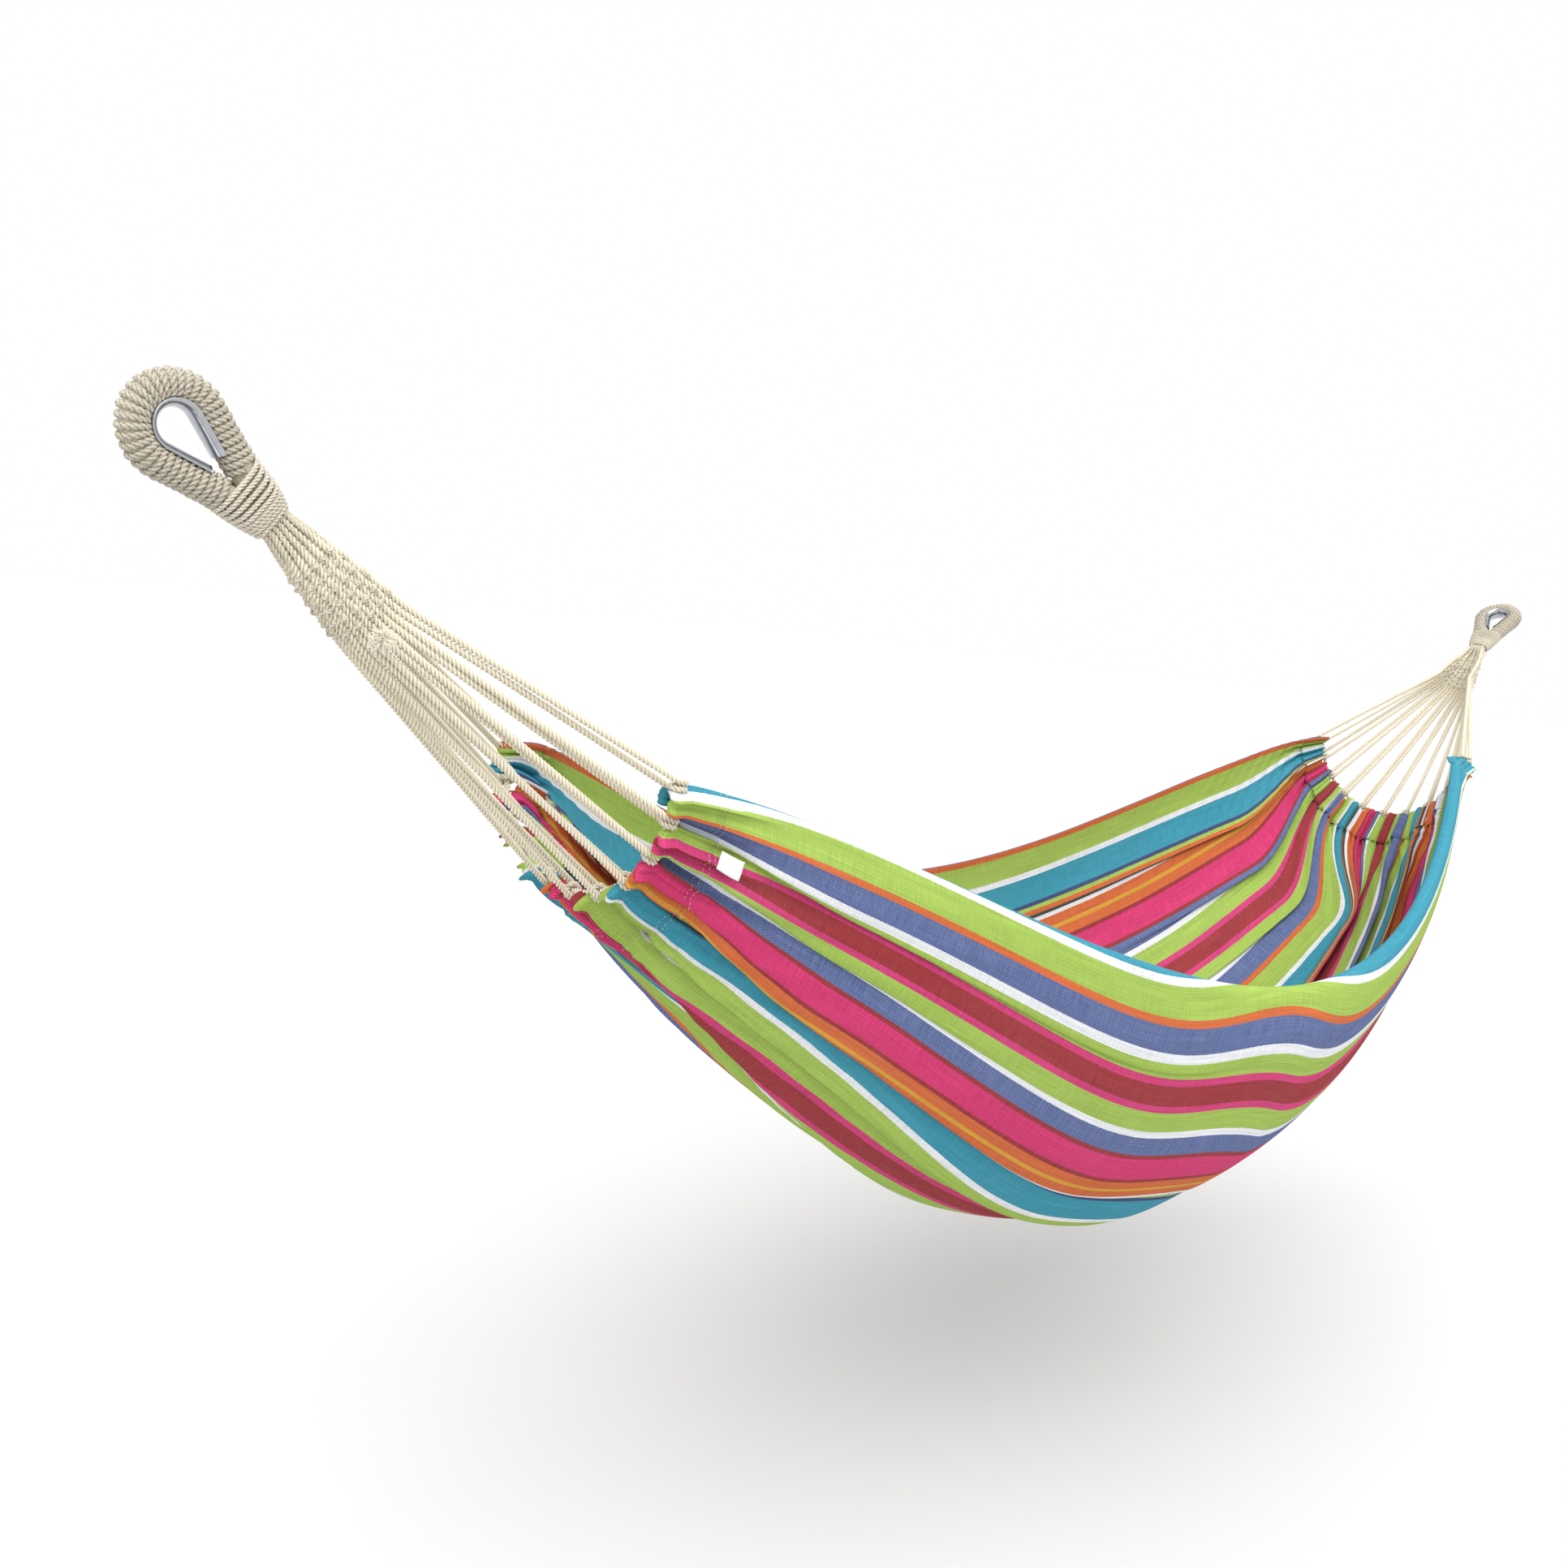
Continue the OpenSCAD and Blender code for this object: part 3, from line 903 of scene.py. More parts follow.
@dataclass
class Eye:
    """A rope eye: its thimble, its serving and the whipping at its neck."""

    end: End
    finishes: Finishes
    serving_pitch: float = 0.0057
    serving_cord_r: float = 0.0033
    whipping_cord_r: float = 0.0025
    whipping_wraps: int = 9
    whipping_start: float = 0.0605
    whipping_end: float = 0.1032

    @property
    def frame(self) -> EndFrame:
        """Return the directions at this eye."""
        return EndFrame(self.end)

    def middle_line(self, leg_end_gap: float, fine: int = 60) -> Vec:
        """Return the rope's path round the eye in its own plane.

        Args:
            leg_end_gap: How far off the eye's axis each leg ends.
            fine: Points round the bend.

        Returns:
            The path from one leg's end to the other's.
        """
        r = SIZES.core_path_r
        bend = math.pi / 2 + SIZES.leg_angle
        turn = math.pi - np.linspace(-bend, bend, fine)
        arc = np.stack([r * np.cos(turn), r * np.sin(turn), np.zeros(fine)], axis=1)
        start_x = r * math.sin(SIZES.leg_angle)
        start_y = r * math.cos(SIZES.leg_angle)
        reach = start_x + (start_y - leg_end_gap) / math.tan(SIZES.leg_angle)
        first = np.array([[reach, math.copysign(leg_end_gap, arc[0, 1]), 0.0]])
        last = np.array([[reach, math.copysign(leg_end_gap, arc[-1, 1]), 0.0]])
        return np.concatenate([first, arc, last])

    def thimble(self) -> None:
        """Make the teardrop thimble from a grooved steel strip with rounded lips."""
        r = SIZES.core_path_r
        gap = r * math.cos(SIZES.leg_angle) - SIZES.thimble_leg * math.sin(SIZES.leg_angle)
        path, _ = resample(self.middle_line(gap), 0.0012)
        heading = unit(np.gradient(path, axis=0))
        through = np.tile([0.0, 0.0, 1.0], (len(path), 1))
        inwards = unit(np.cross(heading, through))
        centre_side = np.sign(np.einsum("ij,ij->i", inwards, np.array([[0.012, 0, 0]]) - path))[:, None]
        inwards = inwards * centre_side
        spread = math.radians(52)
        inner = np.linspace(-spread, spread, 11)
        thick = SIZES.thimble_t
        angles = np.concatenate([inner, inner[::-1]])
        radii = np.concatenate([np.full(11, SIZES.seat_r + thick), np.full(11, SIZES.seat_r)])
        lip = np.abs(angles) > spread - 1e-6
        radii = np.where(lip, radii + np.where(radii > SIZES.seat_r + thick / 2, -0.0005, 0.0005), radii)
        grid = (
            path[:, None, :]
            + (radii * np.cos(angles))[None, :, None] * inwards[:, None, :]
            + (radii * np.sin(angles))[None, :, None] * through[:, None, :]
        )
        parts = MeshParts()
        columns = len(angles)
        u = np.broadcast_to(np.arange(columns + 1) / columns, (len(path), columns + 1))
        v = np.broadcast_to(np.arange(len(path))[:, None] * 0.0012, u.shape)
        parts.add_grid(self.frame.in_eye(grid), np.stack([u, v], -1), wrap=True, caps=True)
        piece = parts.build(f"thimble_steel_{self.end.value}")
        bevel = piece.modifiers.new("lips", "SUBSURF")
        bevel.levels = 1
        bevel.render_levels = 1
        dress(piece, self.finishes.steel, Body.ROOT, [f"thimble_{self.end.value}"])

    def serving(self) -> None:
        """Wind the serving cord round the eye's rope, turn by turn."""
        core, _ = resample(self.middle_line(SIZES.serving_gap), 0.0004)
        length = path_length(core)
        turns = length / self.serving_pitch
        phase = np.linspace(0, 2 * math.pi * turns, len(core))
        heading = unit(np.gradient(core, axis=0))
        through = np.tile([0.0, 0.0, 1.0], (len(core), 1))
        side = np.cross(heading, through)
        wobble = 1 + 0.02 * np.sin(phase * 0.37) + 0.015 * np.sin(phase * 0.11 + 1)
        reach = (SIZES.served_r - 0.9 * self.serving_cord_r) * wobble
        path = core + (reach * np.cos(phase))[:, None] * side + (reach * np.sin(phase))[:, None] * through
        parts = MeshParts()
        LaidCord(self.serving_cord_r, lay=4.2).add(parts, self.frame.in_eye(path))
        piece = parts.build(f"serving_cord_{self.end.value}")
        dress(piece, self.finishes.serving, Body.ROOT, [f"eye_serving_{self.end.value}"])

    def whipping(self) -> None:
        """Lash the eye's two legs together with wraps of finer cord."""
        count = 64 * self.whipping_wraps
        phase = np.linspace(0, 2 * math.pi * self.whipping_wraps, count)
        share = np.linspace(0, 1, count)
        along = self.whipping_start + (self.whipping_end - self.whipping_start) * share
        half_gap = 0.0122 + (0.0068 - 0.0122) * share
        radius = 0.0136 + (0.0094 - 0.0136) * share
        radius = radius + 0.0012 * np.sin(math.pi * share)
        across = radius * np.cos(phase) + half_gap * np.tanh(2.4 * np.cos(phase))
        through = radius * np.sin(phase)
        slant = 0.0045 * np.sin(phase) * np.sin(math.pi * share) + 0.10 * across * np.cos(phase * 0.5) ** 2
        local = np.stack([along + slant * np.sin(math.pi * np.clip(share * 1.1, 0, 1)), across, through], axis=1)
        parts = MeshParts()
        LaidCord(self.whipping_cord_r, lay=4.4).add(parts, self.frame.in_eye(local))
        piece = parts.build(f"whipping_cord_{self.end.value}")
        dress(piece, self.finishes.lashing, Body.ROOT, [f"neck_whipping_{self.end.value}"])

    def core(self) -> None:
        """Give the rope bundle inside the serving its finish."""
        node = f"eye_rope_{self.end.value}"
        for piece in bpy.context.scene.objects:
            if piece.get("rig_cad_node") == node:
                piece.data.materials.clear()
                piece.data.materials.append(self.finishes.bundle)
                for face in piece.data.polygons:
                    face.use_smooth = True

    def build(self) -> None:
        """Make every piece of the eye."""
        self.thimble()
        self.serving()
        self.whipping()
        self.core()


# ---------- the woven clew and the suspension ropes ----------


@dataclass
class Rigging:
    """The suspension ropes of one end, woven into a clew by the weaver cord."""

    end: End
    finishes: Finishes
    rope_r: float = 0.0035
    neck_rope_r: float = 0.0028
    neck_start: float = 0.096
    weaver_rows: int = 6
    weaver_r: float = 0.0019
    weave_offset: float = 0.0012
    loop_r: float = 0.0069
    loop_shift: float = 0.0064
    blend_from: float = 0.096
    blend_to: float = 0.130

    @property
    def frame(self) -> EndFrame:
        """Return the directions at this end."""
        return EndFrame(self.end)

    def neck_seat(self, leg: int) -> tuple[float, float]:
        """Return where a leg leaves the whipping, as distances across and above the line."""
        half = ROPE_COUNT
        if self.end is End.A:
            near = leg < half
            rank = leg if near else LEG_COUNT - 1 - leg
            layer = 0.0063 if rank % 2 else 0.0021
            return (-layer if near else layer), 0.0125 - 0.0025 * rank
        layer = (-0.0063, 0.0021, -0.0021, 0.0063)[leg % 4]
        return 0.0132 * (2 * leg / (LEG_COUNT - 1) - 1), layer

    def trough_seat(self, leg: float) -> tuple[float, float, float, float]:
        """Return a leg's seat at the clew's wide end and the outward direction there.

        Args:
            leg: The leg's number, which may lie between two legs.

        Returns:
            Distances across and above the line, and the outward direction's two parts.
        """
        s = (leg - (LEG_COUNT - 1) / 2) * SIZES.leg_pitch
        arc = SIZES.trough_r * math.pi / 2
        t = min(max(s, -arc), arc)
        turn = t / SIZES.trough_r
        across = SIZES.trough_r * math.sin(turn)
        above = -SIZES.trough_sag - SIZES.trough_r * math.cos(turn) + abs(s - t)
        return across, above, math.sin(turn), -math.cos(turn)

    def row_places(self) -> list[float]:
        """Return how far along the line each weaver row lies."""
        length = SIZES.clew_end - SIZES.flex_reach
        first, span = 0.22, 0.72
        return [
            SIZES.flex_reach + length * (first + span * i / (self.weaver_rows + 1))
            for i in range(1, self.weaver_rows + 1)
        ]

    def clew_path(self, leg: float, along: Vec, woven: bool = True) -> Vec:
        """Return a leg's path through the clew.

        Args:
            leg: The leg's number.
            along: Distances along the line.
            woven: Whether it sways in and out at the weaver rows.

        Returns:
            The path's points, one for each distance.
        """
        low, high = math.floor(leg), min(math.floor(leg) + 1, LEG_COUNT - 1)
        part = leg - low
        neck = [
            (1 - part) * a + part * b for a, b in zip(self.neck_seat(low), self.neck_seat(high))
        ]
        across, above, out_across, out_above = self.trough_seat(leg)
        share = np.clip((along - SIZES.flex_reach) / (SIZES.clew_end - SIZES.flex_reach), 0, 1)
        spread = share**0.8
        sway = np.zeros_like(along)
        if woven:
            rows = self.row_places()
            pitch = rows[1] - rows[0]
            inside = smooth_step(along, rows[0] - pitch, rows[0]) * (1 - smooth_step(along, rows[-1], rows[-1] + pitch))
            parity = 1 if int(leg) % 2 else -1
            sway = parity * self.weave_offset * np.cos(math.pi * (along - rows[0]) / pitch) * inside
        y = (1 - spread) * neck[0] + spread * across + sway * out_across
        z = (1 - spread) * neck[1] + spread * above + sway * out_above
        return self.frame.at(along, y, z)

    def loop_path(self, index: int) -> tuple[Vec, Vec]:
        """Return the turns of a rope round the hem cord.

        Args:
            index: The rope's number across the bed.

        Returns:
            The loop's points, and the hem cord's point that it is wound about.
        """
        side = math.radians(-90 + 18 * index)
        e = 1e-3
        centre = BED.hem_line(self.end, np.array(side))
        low = BED.hem_line(self.end, np.array(max(side - e, -math.pi / 2)))
        high = BED.hem_line(self.end, np.array(min(side + e, math.pi / 2)))
        run = unit(high - low) if index not in (0, ROPE_COUNT - 1) else UP * (-1 if index == 0 else 1)
        seat = self.frame.at(SIZES.clew_end, *self.trough_seat(2 * index + 0.5)[:2])
        back = unit(seat - centre)
        back = unit(back - run * (back @ run))
        normal = np.cross(back, run)
        turn = np.linspace(0, 3 * math.pi, 50)
        wind = -np.sin(turn)[:, None] * back + np.cos(turn)[:, None] * normal
        shift = np.linspace(-0.75, 0.75, 50)[:, None] * self.loop_shift
        return centre + self.loop_r * wind + shift * run, centre

    def rope_radius(self, from_neck: Union[float, Vec]) -> Union[float, Vec]:
        """Return a rope's radius at a distance from the neck, where it is squeezed."""
        return self.neck_rope_r + (self.rope_r - self.neck_rope_r) * smooth_step(from_neck, 0.0, 0.05)

    def rope(self, index: int) -> None:
        """Make one doubled rope, from the neck round the hem cord and back to the neck."""
        along = np.linspace(self.neck_start, SIZES.clew_end, 60)
        out_leg = self.clew_path(2 * index, along)
        back_leg = self.clew_path(2 * index + 1, along)
        loop, _ = self.loop_path(index)
        if np.linalg.norm(loop[0] - out_leg[-1]) + np.linalg.norm(loop[-1] - back_leg[-1]) > (
            np.linalg.norm(loop[-1] - out_leg[-1]) + np.linalg.norm(loop[0] - back_leg[-1])
        ):
            loop = loop[::-1]
        path = np.concatenate([out_leg, loop, back_leg[::-1]])
        even, _ = resample(path, 0.002)
        even = soften(even, 4)
        from_neck = np.minimum(
            np.linalg.norm(even - out_leg[0], axis=1), np.linalg.norm(even - back_leg[0], axis=1)
        )
        radii = self.rope_radius(from_neck)
        parts = MeshParts()
        LaidCord(self.rope_r, lay=3.8).add(parts, even, radii, phase=1.7 * index)
        name = f"{self.end.value}_{index + 1:02d}"
        piece = parts.build(f"rope_{name}")
        dress(piece, self.finishes.rope, None, [f"suspension_rope_{name}"])
        start = self.frame.at(self.blend_from, 0.0, 0.0)
        stop = self.frame.at(self.blend_to, 0.0, 0.0)
        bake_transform(piece)
        2 * self.rope_r

    def weaver(self) -> None:
        """Lace the weaver cord in and out of the legs, row by row."""
        parts = MeshParts()
        legs = np.linspace(0, LEG_COUNT - 1, 12 * (LEG_COUNT - 1) + 1)
        for number, place in enumerate(self.row_places()):
            rope_r = float(self.rope_radius(place - self.neck_start))
            points = []
            for leg in legs:
                spot = self.clew_path(leg, np.array([place]), woven=False)[0]
                _, _, out_across, out_above = self.trough_seat(leg)
                out = self.frame.at(0.0, out_across, out_above) - self.frame.at(0.0, 0.0, 0.0)
                parity = 1 if number % 2 else -1
                points.append(spot + out * parity * math.cos(math.pi * leg) * (rope_r + self.weaver_r * 0.4))
            path, _ = resample(np.array(points), 0.001)
            LaidCord(self.weaver_r, lay=4.2, detail=6).add(parts, path)
        piece = parts.build(f"weaver_{self.end.value}")
        nodes = [f"weaver_cord_{self.end.value}", f"clew_band_{self.end.value}"]
        dress(piece, self.finishes.lashing, Body.SLING, nodes)

    def knot(self) -> None:
        """Make the frayed end knot of the weaver cord."""
        rng = np.random.default_rng(7 if self.end is End.A else 11)
        hand = -1 if self.end is End.A else 1
        centre = self.frame.at(SIZES.clew_end - 0.004, hand * 0.0440, -0.020)
        parts = MeshParts()
        turn = np.linspace(0, 2 * math.pi, 90)
        twist = 0.0042 + 0.0022 * np.cos(3 * turn)
        body = np.stack([twist * np.cos(2 * turn), 0.0022 * np.sin(3 * turn), twist * np.sin(2 * turn)], axis=1)
        LaidCord(0.0024, lay=4.2).add(parts, centre + body)
        for _ in range(230):
            aim = unit(rng.normal(size=3))
            reach = rng.uniform(0.009, 0.0125)
            curl = unit(np.cross(aim, rng.normal(size=3)))
            t = np.linspace(0, 1, 7)[:, None]
            bend = rng.uniform(0.5, 2.6)
            path = centre + reach * (aim * np.sin(t * min(bend, 1.5)) + curl * (1 - np.cos(t * bend)) * 0.45)
            add_fibre(parts, path, 0.0005)
        piece = parts.build(f"frayed_knot_{self.end.value}")
        dress(piece, self.finishes.lashing, Body.SLING, [f"weaver_knot_{self.end.value}"])

    def hem_cord(self) -> None:
        """Make the cord that runs through the hem and its bound ends."""
        side = np.radians(np.linspace(-90, 90, 160))
        line = BED.hem_line(self.end, side)
        past = np.array([[0.0, 0.0, 0.005]])
        line = np.concatenate([line[:1] + past, line, line[-1:] + past])
        parts = MeshParts()
        LaidCord(SIZES.hem_cord_r, lay=3.8).add(parts, line)
        for corner in (line[0], line[-1]):
            turn = np.linspace(0, 2 * math.pi * 5, 120)
            ring = np.stack([np.cos(turn), np.sin(turn), np.zeros_like(turn)], axis=1) * (SIZES.hem_cord_r + 0.0004)
            rise = np.linspace(-0.006, -0.001, 120)[:, None] * UP
            LaidCord(0.0007, lay=4.0, detail=4).add(parts, corner + ring + rise)
        piece = parts.build(f"hem_rope_{self.end.value}")
        dress(piece, self.finishes.rope, Body.SLING, [f"hem_cord_{self.end.value}"])

    def build(self) -> None:
        """Make every piece of this end's rigging."""
        for index in range(ROPE_COUNT):
            self.rope(index)
        self.weaver()
        self.knot()
        self.hem_cord()


# ---------- the cloth ----------


@dataclass(frozen=True)
class Tuck:
    """One fold that hides cloth between two puffs.

    Attributes:
        centre: Its middle across the flat cloth.
        hidden: Cloth that it hides at a tenth, a fifth, three tenths and half of the length.
    """

    centre: float
    hidden: tuple[float, float, float, float]


@dataclass
class Cloth:
    """The striped bed cloth: one sheet, gathered at both hems and folded along its length."""

    finishes: Finishes
    columns: int = 420
    bed_rows: int = 250
    seam_inset: float = 0.048
    thickness: float = 0.0009
    pleat_depth: float = 0.024
    overhang: float = 0.009
    lip_rise: float = 0.008
    under_drop: float = 0.009
    curl_r: float = 0.010

    TUCKS = (
        Tuck(0.172, (0.024, 0.018, 0.012, 0.002)),
        Tuck(0.266, (0.016, 0.003, 0.0, 0.0)),
        Tuck(0.412, (0.078, 0.056, 0.028, 0.006)),
        Tuck(0.548, (0.062, 0.090, 0.105, 0.090)),
        Tuck(0.772, (0.300, 0.245, 0.140, 0.080)),
        Tuck(1.020, (0.040, 0.010, 0.005, 0.0)),
        Tuck(1.150, (0.040, 0.008, 0.005, 0.0)),
        Tuck(1.270, (0.040, 0.008, 0.005, 0.0)),
    )
    TUCK_PLACES = (0.1, 0.2, 0.3, 0.5)
    SPREAD_PLACES = (0.0, 0.05, 0.10, 0.15, 0.20, 0.25, 0.30, 0.35, 0.40, 0.45, 0.5)
    NEAR_SPREAD = (0.55, 0.59, 0.65, 0.71, 0.78, 0.85, 0.92, 0.99, 1.04, 1.09, 1.12)
    CURL_PLACES = (0.0, 0.02, 0.1, 0.2, 0.27, 0.32, 0.36, 0.42, 0.47, 0.53, 0.6, 0.75, 1.0)
    CURLED = (0.040, 0.056, 0.060, 0.054, 0.046, 0.044, 0.056, 0.086, 0.088, 0.050, 0.036, 0.034, 0.024)

    def __post_init__(self) -> None:
        """Work out how much cloth is rolled in and tucked away all along the bed."""
        self.places = np.linspace(0, 1, 401)
        toward_mid = np.minimum(self.places, 1 - self.places)
        curl = np.interp(self.places, self.CURL_PLACES, self.CURLED)
        self.curl_table = self.eased(curl, 0.030)
        tucked = [self.eased(np.interp(toward_mid, self.TUCK_PLACES, t.hidden), 0.045) for t in self.TUCKS]
        self.tuck_table = np.stack(tucked, axis=1)

    def eased(self, values: Vec, spread: float) -> Vec:
        """Return values along the bed with their corners rounded over a share of its length."""
        x = np.arange(-200, 201) / 400
        weights = np.exp(-0.5 * (x / spread) ** 2)
        padded = np.pad(values, 200, mode="edge")
        return np.convolve(padded, weights / weights.sum(), mode="valid")

    def along_bed(self, table: Vec, u: float) -> Vec:
        """Return a table's values at u along the bed."""
        place = u * (len(table) - 1)
        low = min(int(place), len(table) - 2)
        return table[low] * (1 - place + low) + table[low + 1] * (place - low)

    def arc_table(self, u: float) -> tuple[Vec, Vec]:
        """Return angles across the bed and the arc length up to each at u along it."""
        side = np.radians(np.linspace(-90, 90, 361))
        width, drop, depth = BED.sizes(np.array(u))
        y = width * np.sin(side)
        z = -depth * np.maximum(0, np.cos(side)) ** BED.roundness
        arc = np.concatenate([[0.0], np.cumsum(np.hypot(np.diff(y), np.diff(z)))])
        return side, arc

    def lay_row(self, u: float) -> tuple[Vec, Vec, Vec]:
        """Lay one row of the cloth across the bed.

        Args:
            u: Place along the bed, from 0 at one hem to 1 at the other.

        Returns:
            Arc places across the bed and heights off it for each column, and the arc's angle table.
        """
        w = np.linspace(0, SIZES.cut_width, self.columns)
        side, arc = self.arc_table(u)
        total = arc[-1]
        toward_mid = min(u, 1 - u)
        curl = float(self.along_bed(self.curl_table, u))
        hidden = self.along_bed(self.tuck_table, u)
        sunk = 1.3 * self.curl_r * math.tanh(curl / 0.03)
        centres = np.array([t.centre for t in self.TUCKS])
        width_share = self.spread(w, u)
        cover = np.concatenate([[0.0], np.cumsum(0.5 * (width_share[1:] + width_share[:-1]) * np.diff(w))])
        laid = cover[-1] - float(np.interp(curl, w, cover))
        spare = laid - (total - sunk)
        hidden = hidden * max(0.1, spare / float((hidden * self.spread(centres, u)).sum()))
        knots_w = [curl]
        knots_s = [sunk]
        knots_n = [0.0]
        s = sunk
        last = curl
        gone = sum(np.interp(c + x / 2, w, cover) - np.interp(c - x / 2, w, cover) for c, x in zip(centres, hidden))
        stretch = (total - sunk) / (laid - gone)
        for centre, x in zip(centres, hidden):
            s += max(0.0, np.interp(centre - x / 2, w, cover) - np.interp(last, w, cover)) * stretch
            depth = self.pleat_depth * math.tanh(x / 2 / self.pleat_depth)
            size = depth / self.pleat_depth
            knots_w += [centre - x / 2 - 1e-5, centre, centre + x / 2 + 1e-5]
            knots_s += [s + self.overhang * size, s - depth, s]
            knots_n += [self.lip_rise * size, -self.under_drop * size * 1.2, -self.under_drop * size]
            last = centre + x / 2
        knots_w.append(SIZES.cut_width)
        knots_s.append(total)
        knots_n.append(0.0)
        s_row = np.interp(w, knots_w, knots_s)
        n_row = np.interp(w, knots_w, knots_n)
        bulge = 0.003 + 0.006 * math.exp(-toward_mid / 0.12)
        edges = np.concatenate([[curl], centres, [SIZES.cut_width]])
        puff = np.clip(np.searchsorted(edges, w) - 1, 0, len(edges) - 2)
        within = np.clip((w - edges[puff]) / (edges[puff + 1] - edges[puff]), 0, 1)
        n_row = n_row + bulge * np.sin(math.pi * within)
        s_gather, n_gather = self.gathered(w, total, curl, sunk)
        even = 1 - float(smooth_step(toward_mid, 0.014, 0.11))
        puffed = 1 - float(smooth_step(toward_mid, 0.014, 0.065))
        s_row = (1 - even) * s_row + even * s_gather
        n_row = (1 - puffed) * n_row + puffed * n_gather
        if curl > 0:
            rolled = w < curl
            turn = np.minimum((curl - w) / self.curl_r, math.pi)
            spare_flap = np.maximum(0.0, (curl - w) - math.pi * self.curl_r)
            s_row = np.where(rolled, sunk - self.curl_r * np.sin(turn) + spare_flap, s_row)
            n_row = np.where(rolled, -self.curl_r * (1 - np.cos(turn)), n_row)
        return self.smooth(s_row), self.smooth(n_row), np.stack([side, arc])

    def spread(self, w: Vec, u: float) -> Vec:
        """Return the share of the flat width that the cloth shows at places across it.

        Args:
            w: Places across the flat cloth.
            u: Place along the bed.

        Returns:
            The shares, which are below 1 where fine gathers draw the near side in.
        """
        near = float(np.interp(min(u, 1 - u), self.SPREAD_PLACES, self.NEAR_SPREAD))
        return 1 + (near - 1) * (1 - smooth_step(w, 0.45, 0.80))

    def gathered(self, w: Vec, total: float, curl: float, sunk: float) -> tuple[Vec, Vec]:
        """Return the even gathers next to a hem.

        Args:
            w: Places across the flat cloth.
            total: The hem's arc length.
            curl: Cloth rolled in at the near selvedge.
            sunk: Arc place where the rolled selvedge starts.

        Returns:
            Arc places and heights off the bed.
        """
        puff = SIZES.cut_width / (ROPE_COUNT - 1)
        phase = w / puff
        main = np.abs(np.sin(math.pi * phase)) ** 0.8
        fine = np.sin(2 * math.pi * phase * 3 + 0.6 * np.sin(5 * phase))
        sway = 0.0035 * np.sin(2 * math.pi * phase * 3 + 1.3)
        even = sunk + (total - sunk) * (w - curl) / (SIZES.cut_width - curl)
        wrinkle = np.sin(2 * math.pi * phase * 7 + 1.1 * np.sin(3 * phase))
        return even + sway, 0.018 * main + 0.0060 * fine * main + 0.0022 * wrinkle * main - 0.006

    def smooth(self, row: Vec) -> Vec:
        """Round a row's folds with a short Gaussian."""
        spacing = SIZES.cut_width / (self.columns - 1)
        sigma = 0.0042 / spacing
        reach = int(3 * sigma) + 1
        x = np.arange(-reach, reach + 1)
        weights = np.exp(-0.5 * (x / sigma) ** 2)
        weights /= weights.sum()
        before = 2 * row[0] - row[1:reach + 1][::-1]
        after = 2 * row[-1] - row[-reach - 1:-1][::-1]
        return np.convolve(np.concatenate([before, row, after]), weights, mode="valid")

    def slit(self) -> Vec:
        """Return how far the hem is drawn back at each column, from 0 at a puff to 1 at a loop."""
        w = np.linspace(0, SIZES.cut_width, self.columns)
        pitch = SIZES.cut_width / (ROPE_COUNT - 1)
        loop = np.clip(np.round(w / pitch), 1, ROPE_COUNT - 2)
        off = np.abs(w - pitch * loop)
        return 1 - smooth_step(off, 0.022, 0.044)

    def rows(self) -> tuple[Vec, Vec, Vec]:
        """Return the sheet's points, its texture coordinates and the seam lines' points.

        Returns:
            The grid of points, the grid of coordinates, and four lines along the two seams.
        """
        length = SIZES.hung_span - SIZES.reach_a - SIZES.reach_b
        share = np.linspace(0, 1, self.bed_rows)
        t_seam = self.seam_inset / length
        eased = 0.65 * share + 0.35 * (0.5 - 0.5 * np.cos(math.pi * share))
        t_bed = t_seam + (1 - 2 * t_seam) * eased
        bed = [self.place_row(t, t, 0.0) for t in t_bed]
        channel_a = self.channel(End.A, t_seam)
        channel_b = self.channel(End.B, t_seam)
        lines = channel_a[::-1] + bed[1:-1] + channel_b
        grid = np.array(lines)
        steps = np.linalg.norm(np.diff(grid, axis=0), axis=2).mean(axis=1)
        flat = np.concatenate([[0.0], np.cumsum(steps)])
        flat = flat * SIZES.cut_length / flat[-1]
        w = np.linspace(0, SIZES.cut_width, self.columns)
        uv = np.stack([np.broadcast_to(w, grid.shape[:2]), np.broadcast_to(flat[:, None], grid.shape[:2])], -1)
        seams = np.array([
            self.place_row(place / length if end is End.A else 1 - place / length,
                           place / length if end is End.A else 1 - place / length, 0.0013)
            for end in End for place in (self.seam_inset - 0.002, self.seam_inset + 0.0035)
        ])
        return grid, uv, seams

    def place_row(self, t: float, u: float, lift: Union[float, Vec], pull: Union[float, Vec] = 0.0) -> Vec:
        """Return the points of one row of the cloth.

        Args:
            t: Place along the span between the hem cords.
            u: Place along the bed whose folds the row has.
            lift: Extra height off the bed.
            pull: Extra distance along the span, as a share of it.

        Returns:
            The row's points.
        """
        s, n, table = self.lay_row(min(max(u, 0.0), 1.0))
        side_table, arc = table
        side = np.interp(s, arc, side_table)
        over = np.maximum(0, -s) + np.maximum(0, s - arc[-1])
        places = t + pull
        points = BED.point(places, side)
        outward = BED.outward(np.full_like(side, t), side)
        crease = self.creases(s, u)
        points = points + outward * (n + lift + crease)[:, None]
        points[:, 2] += over
        return points

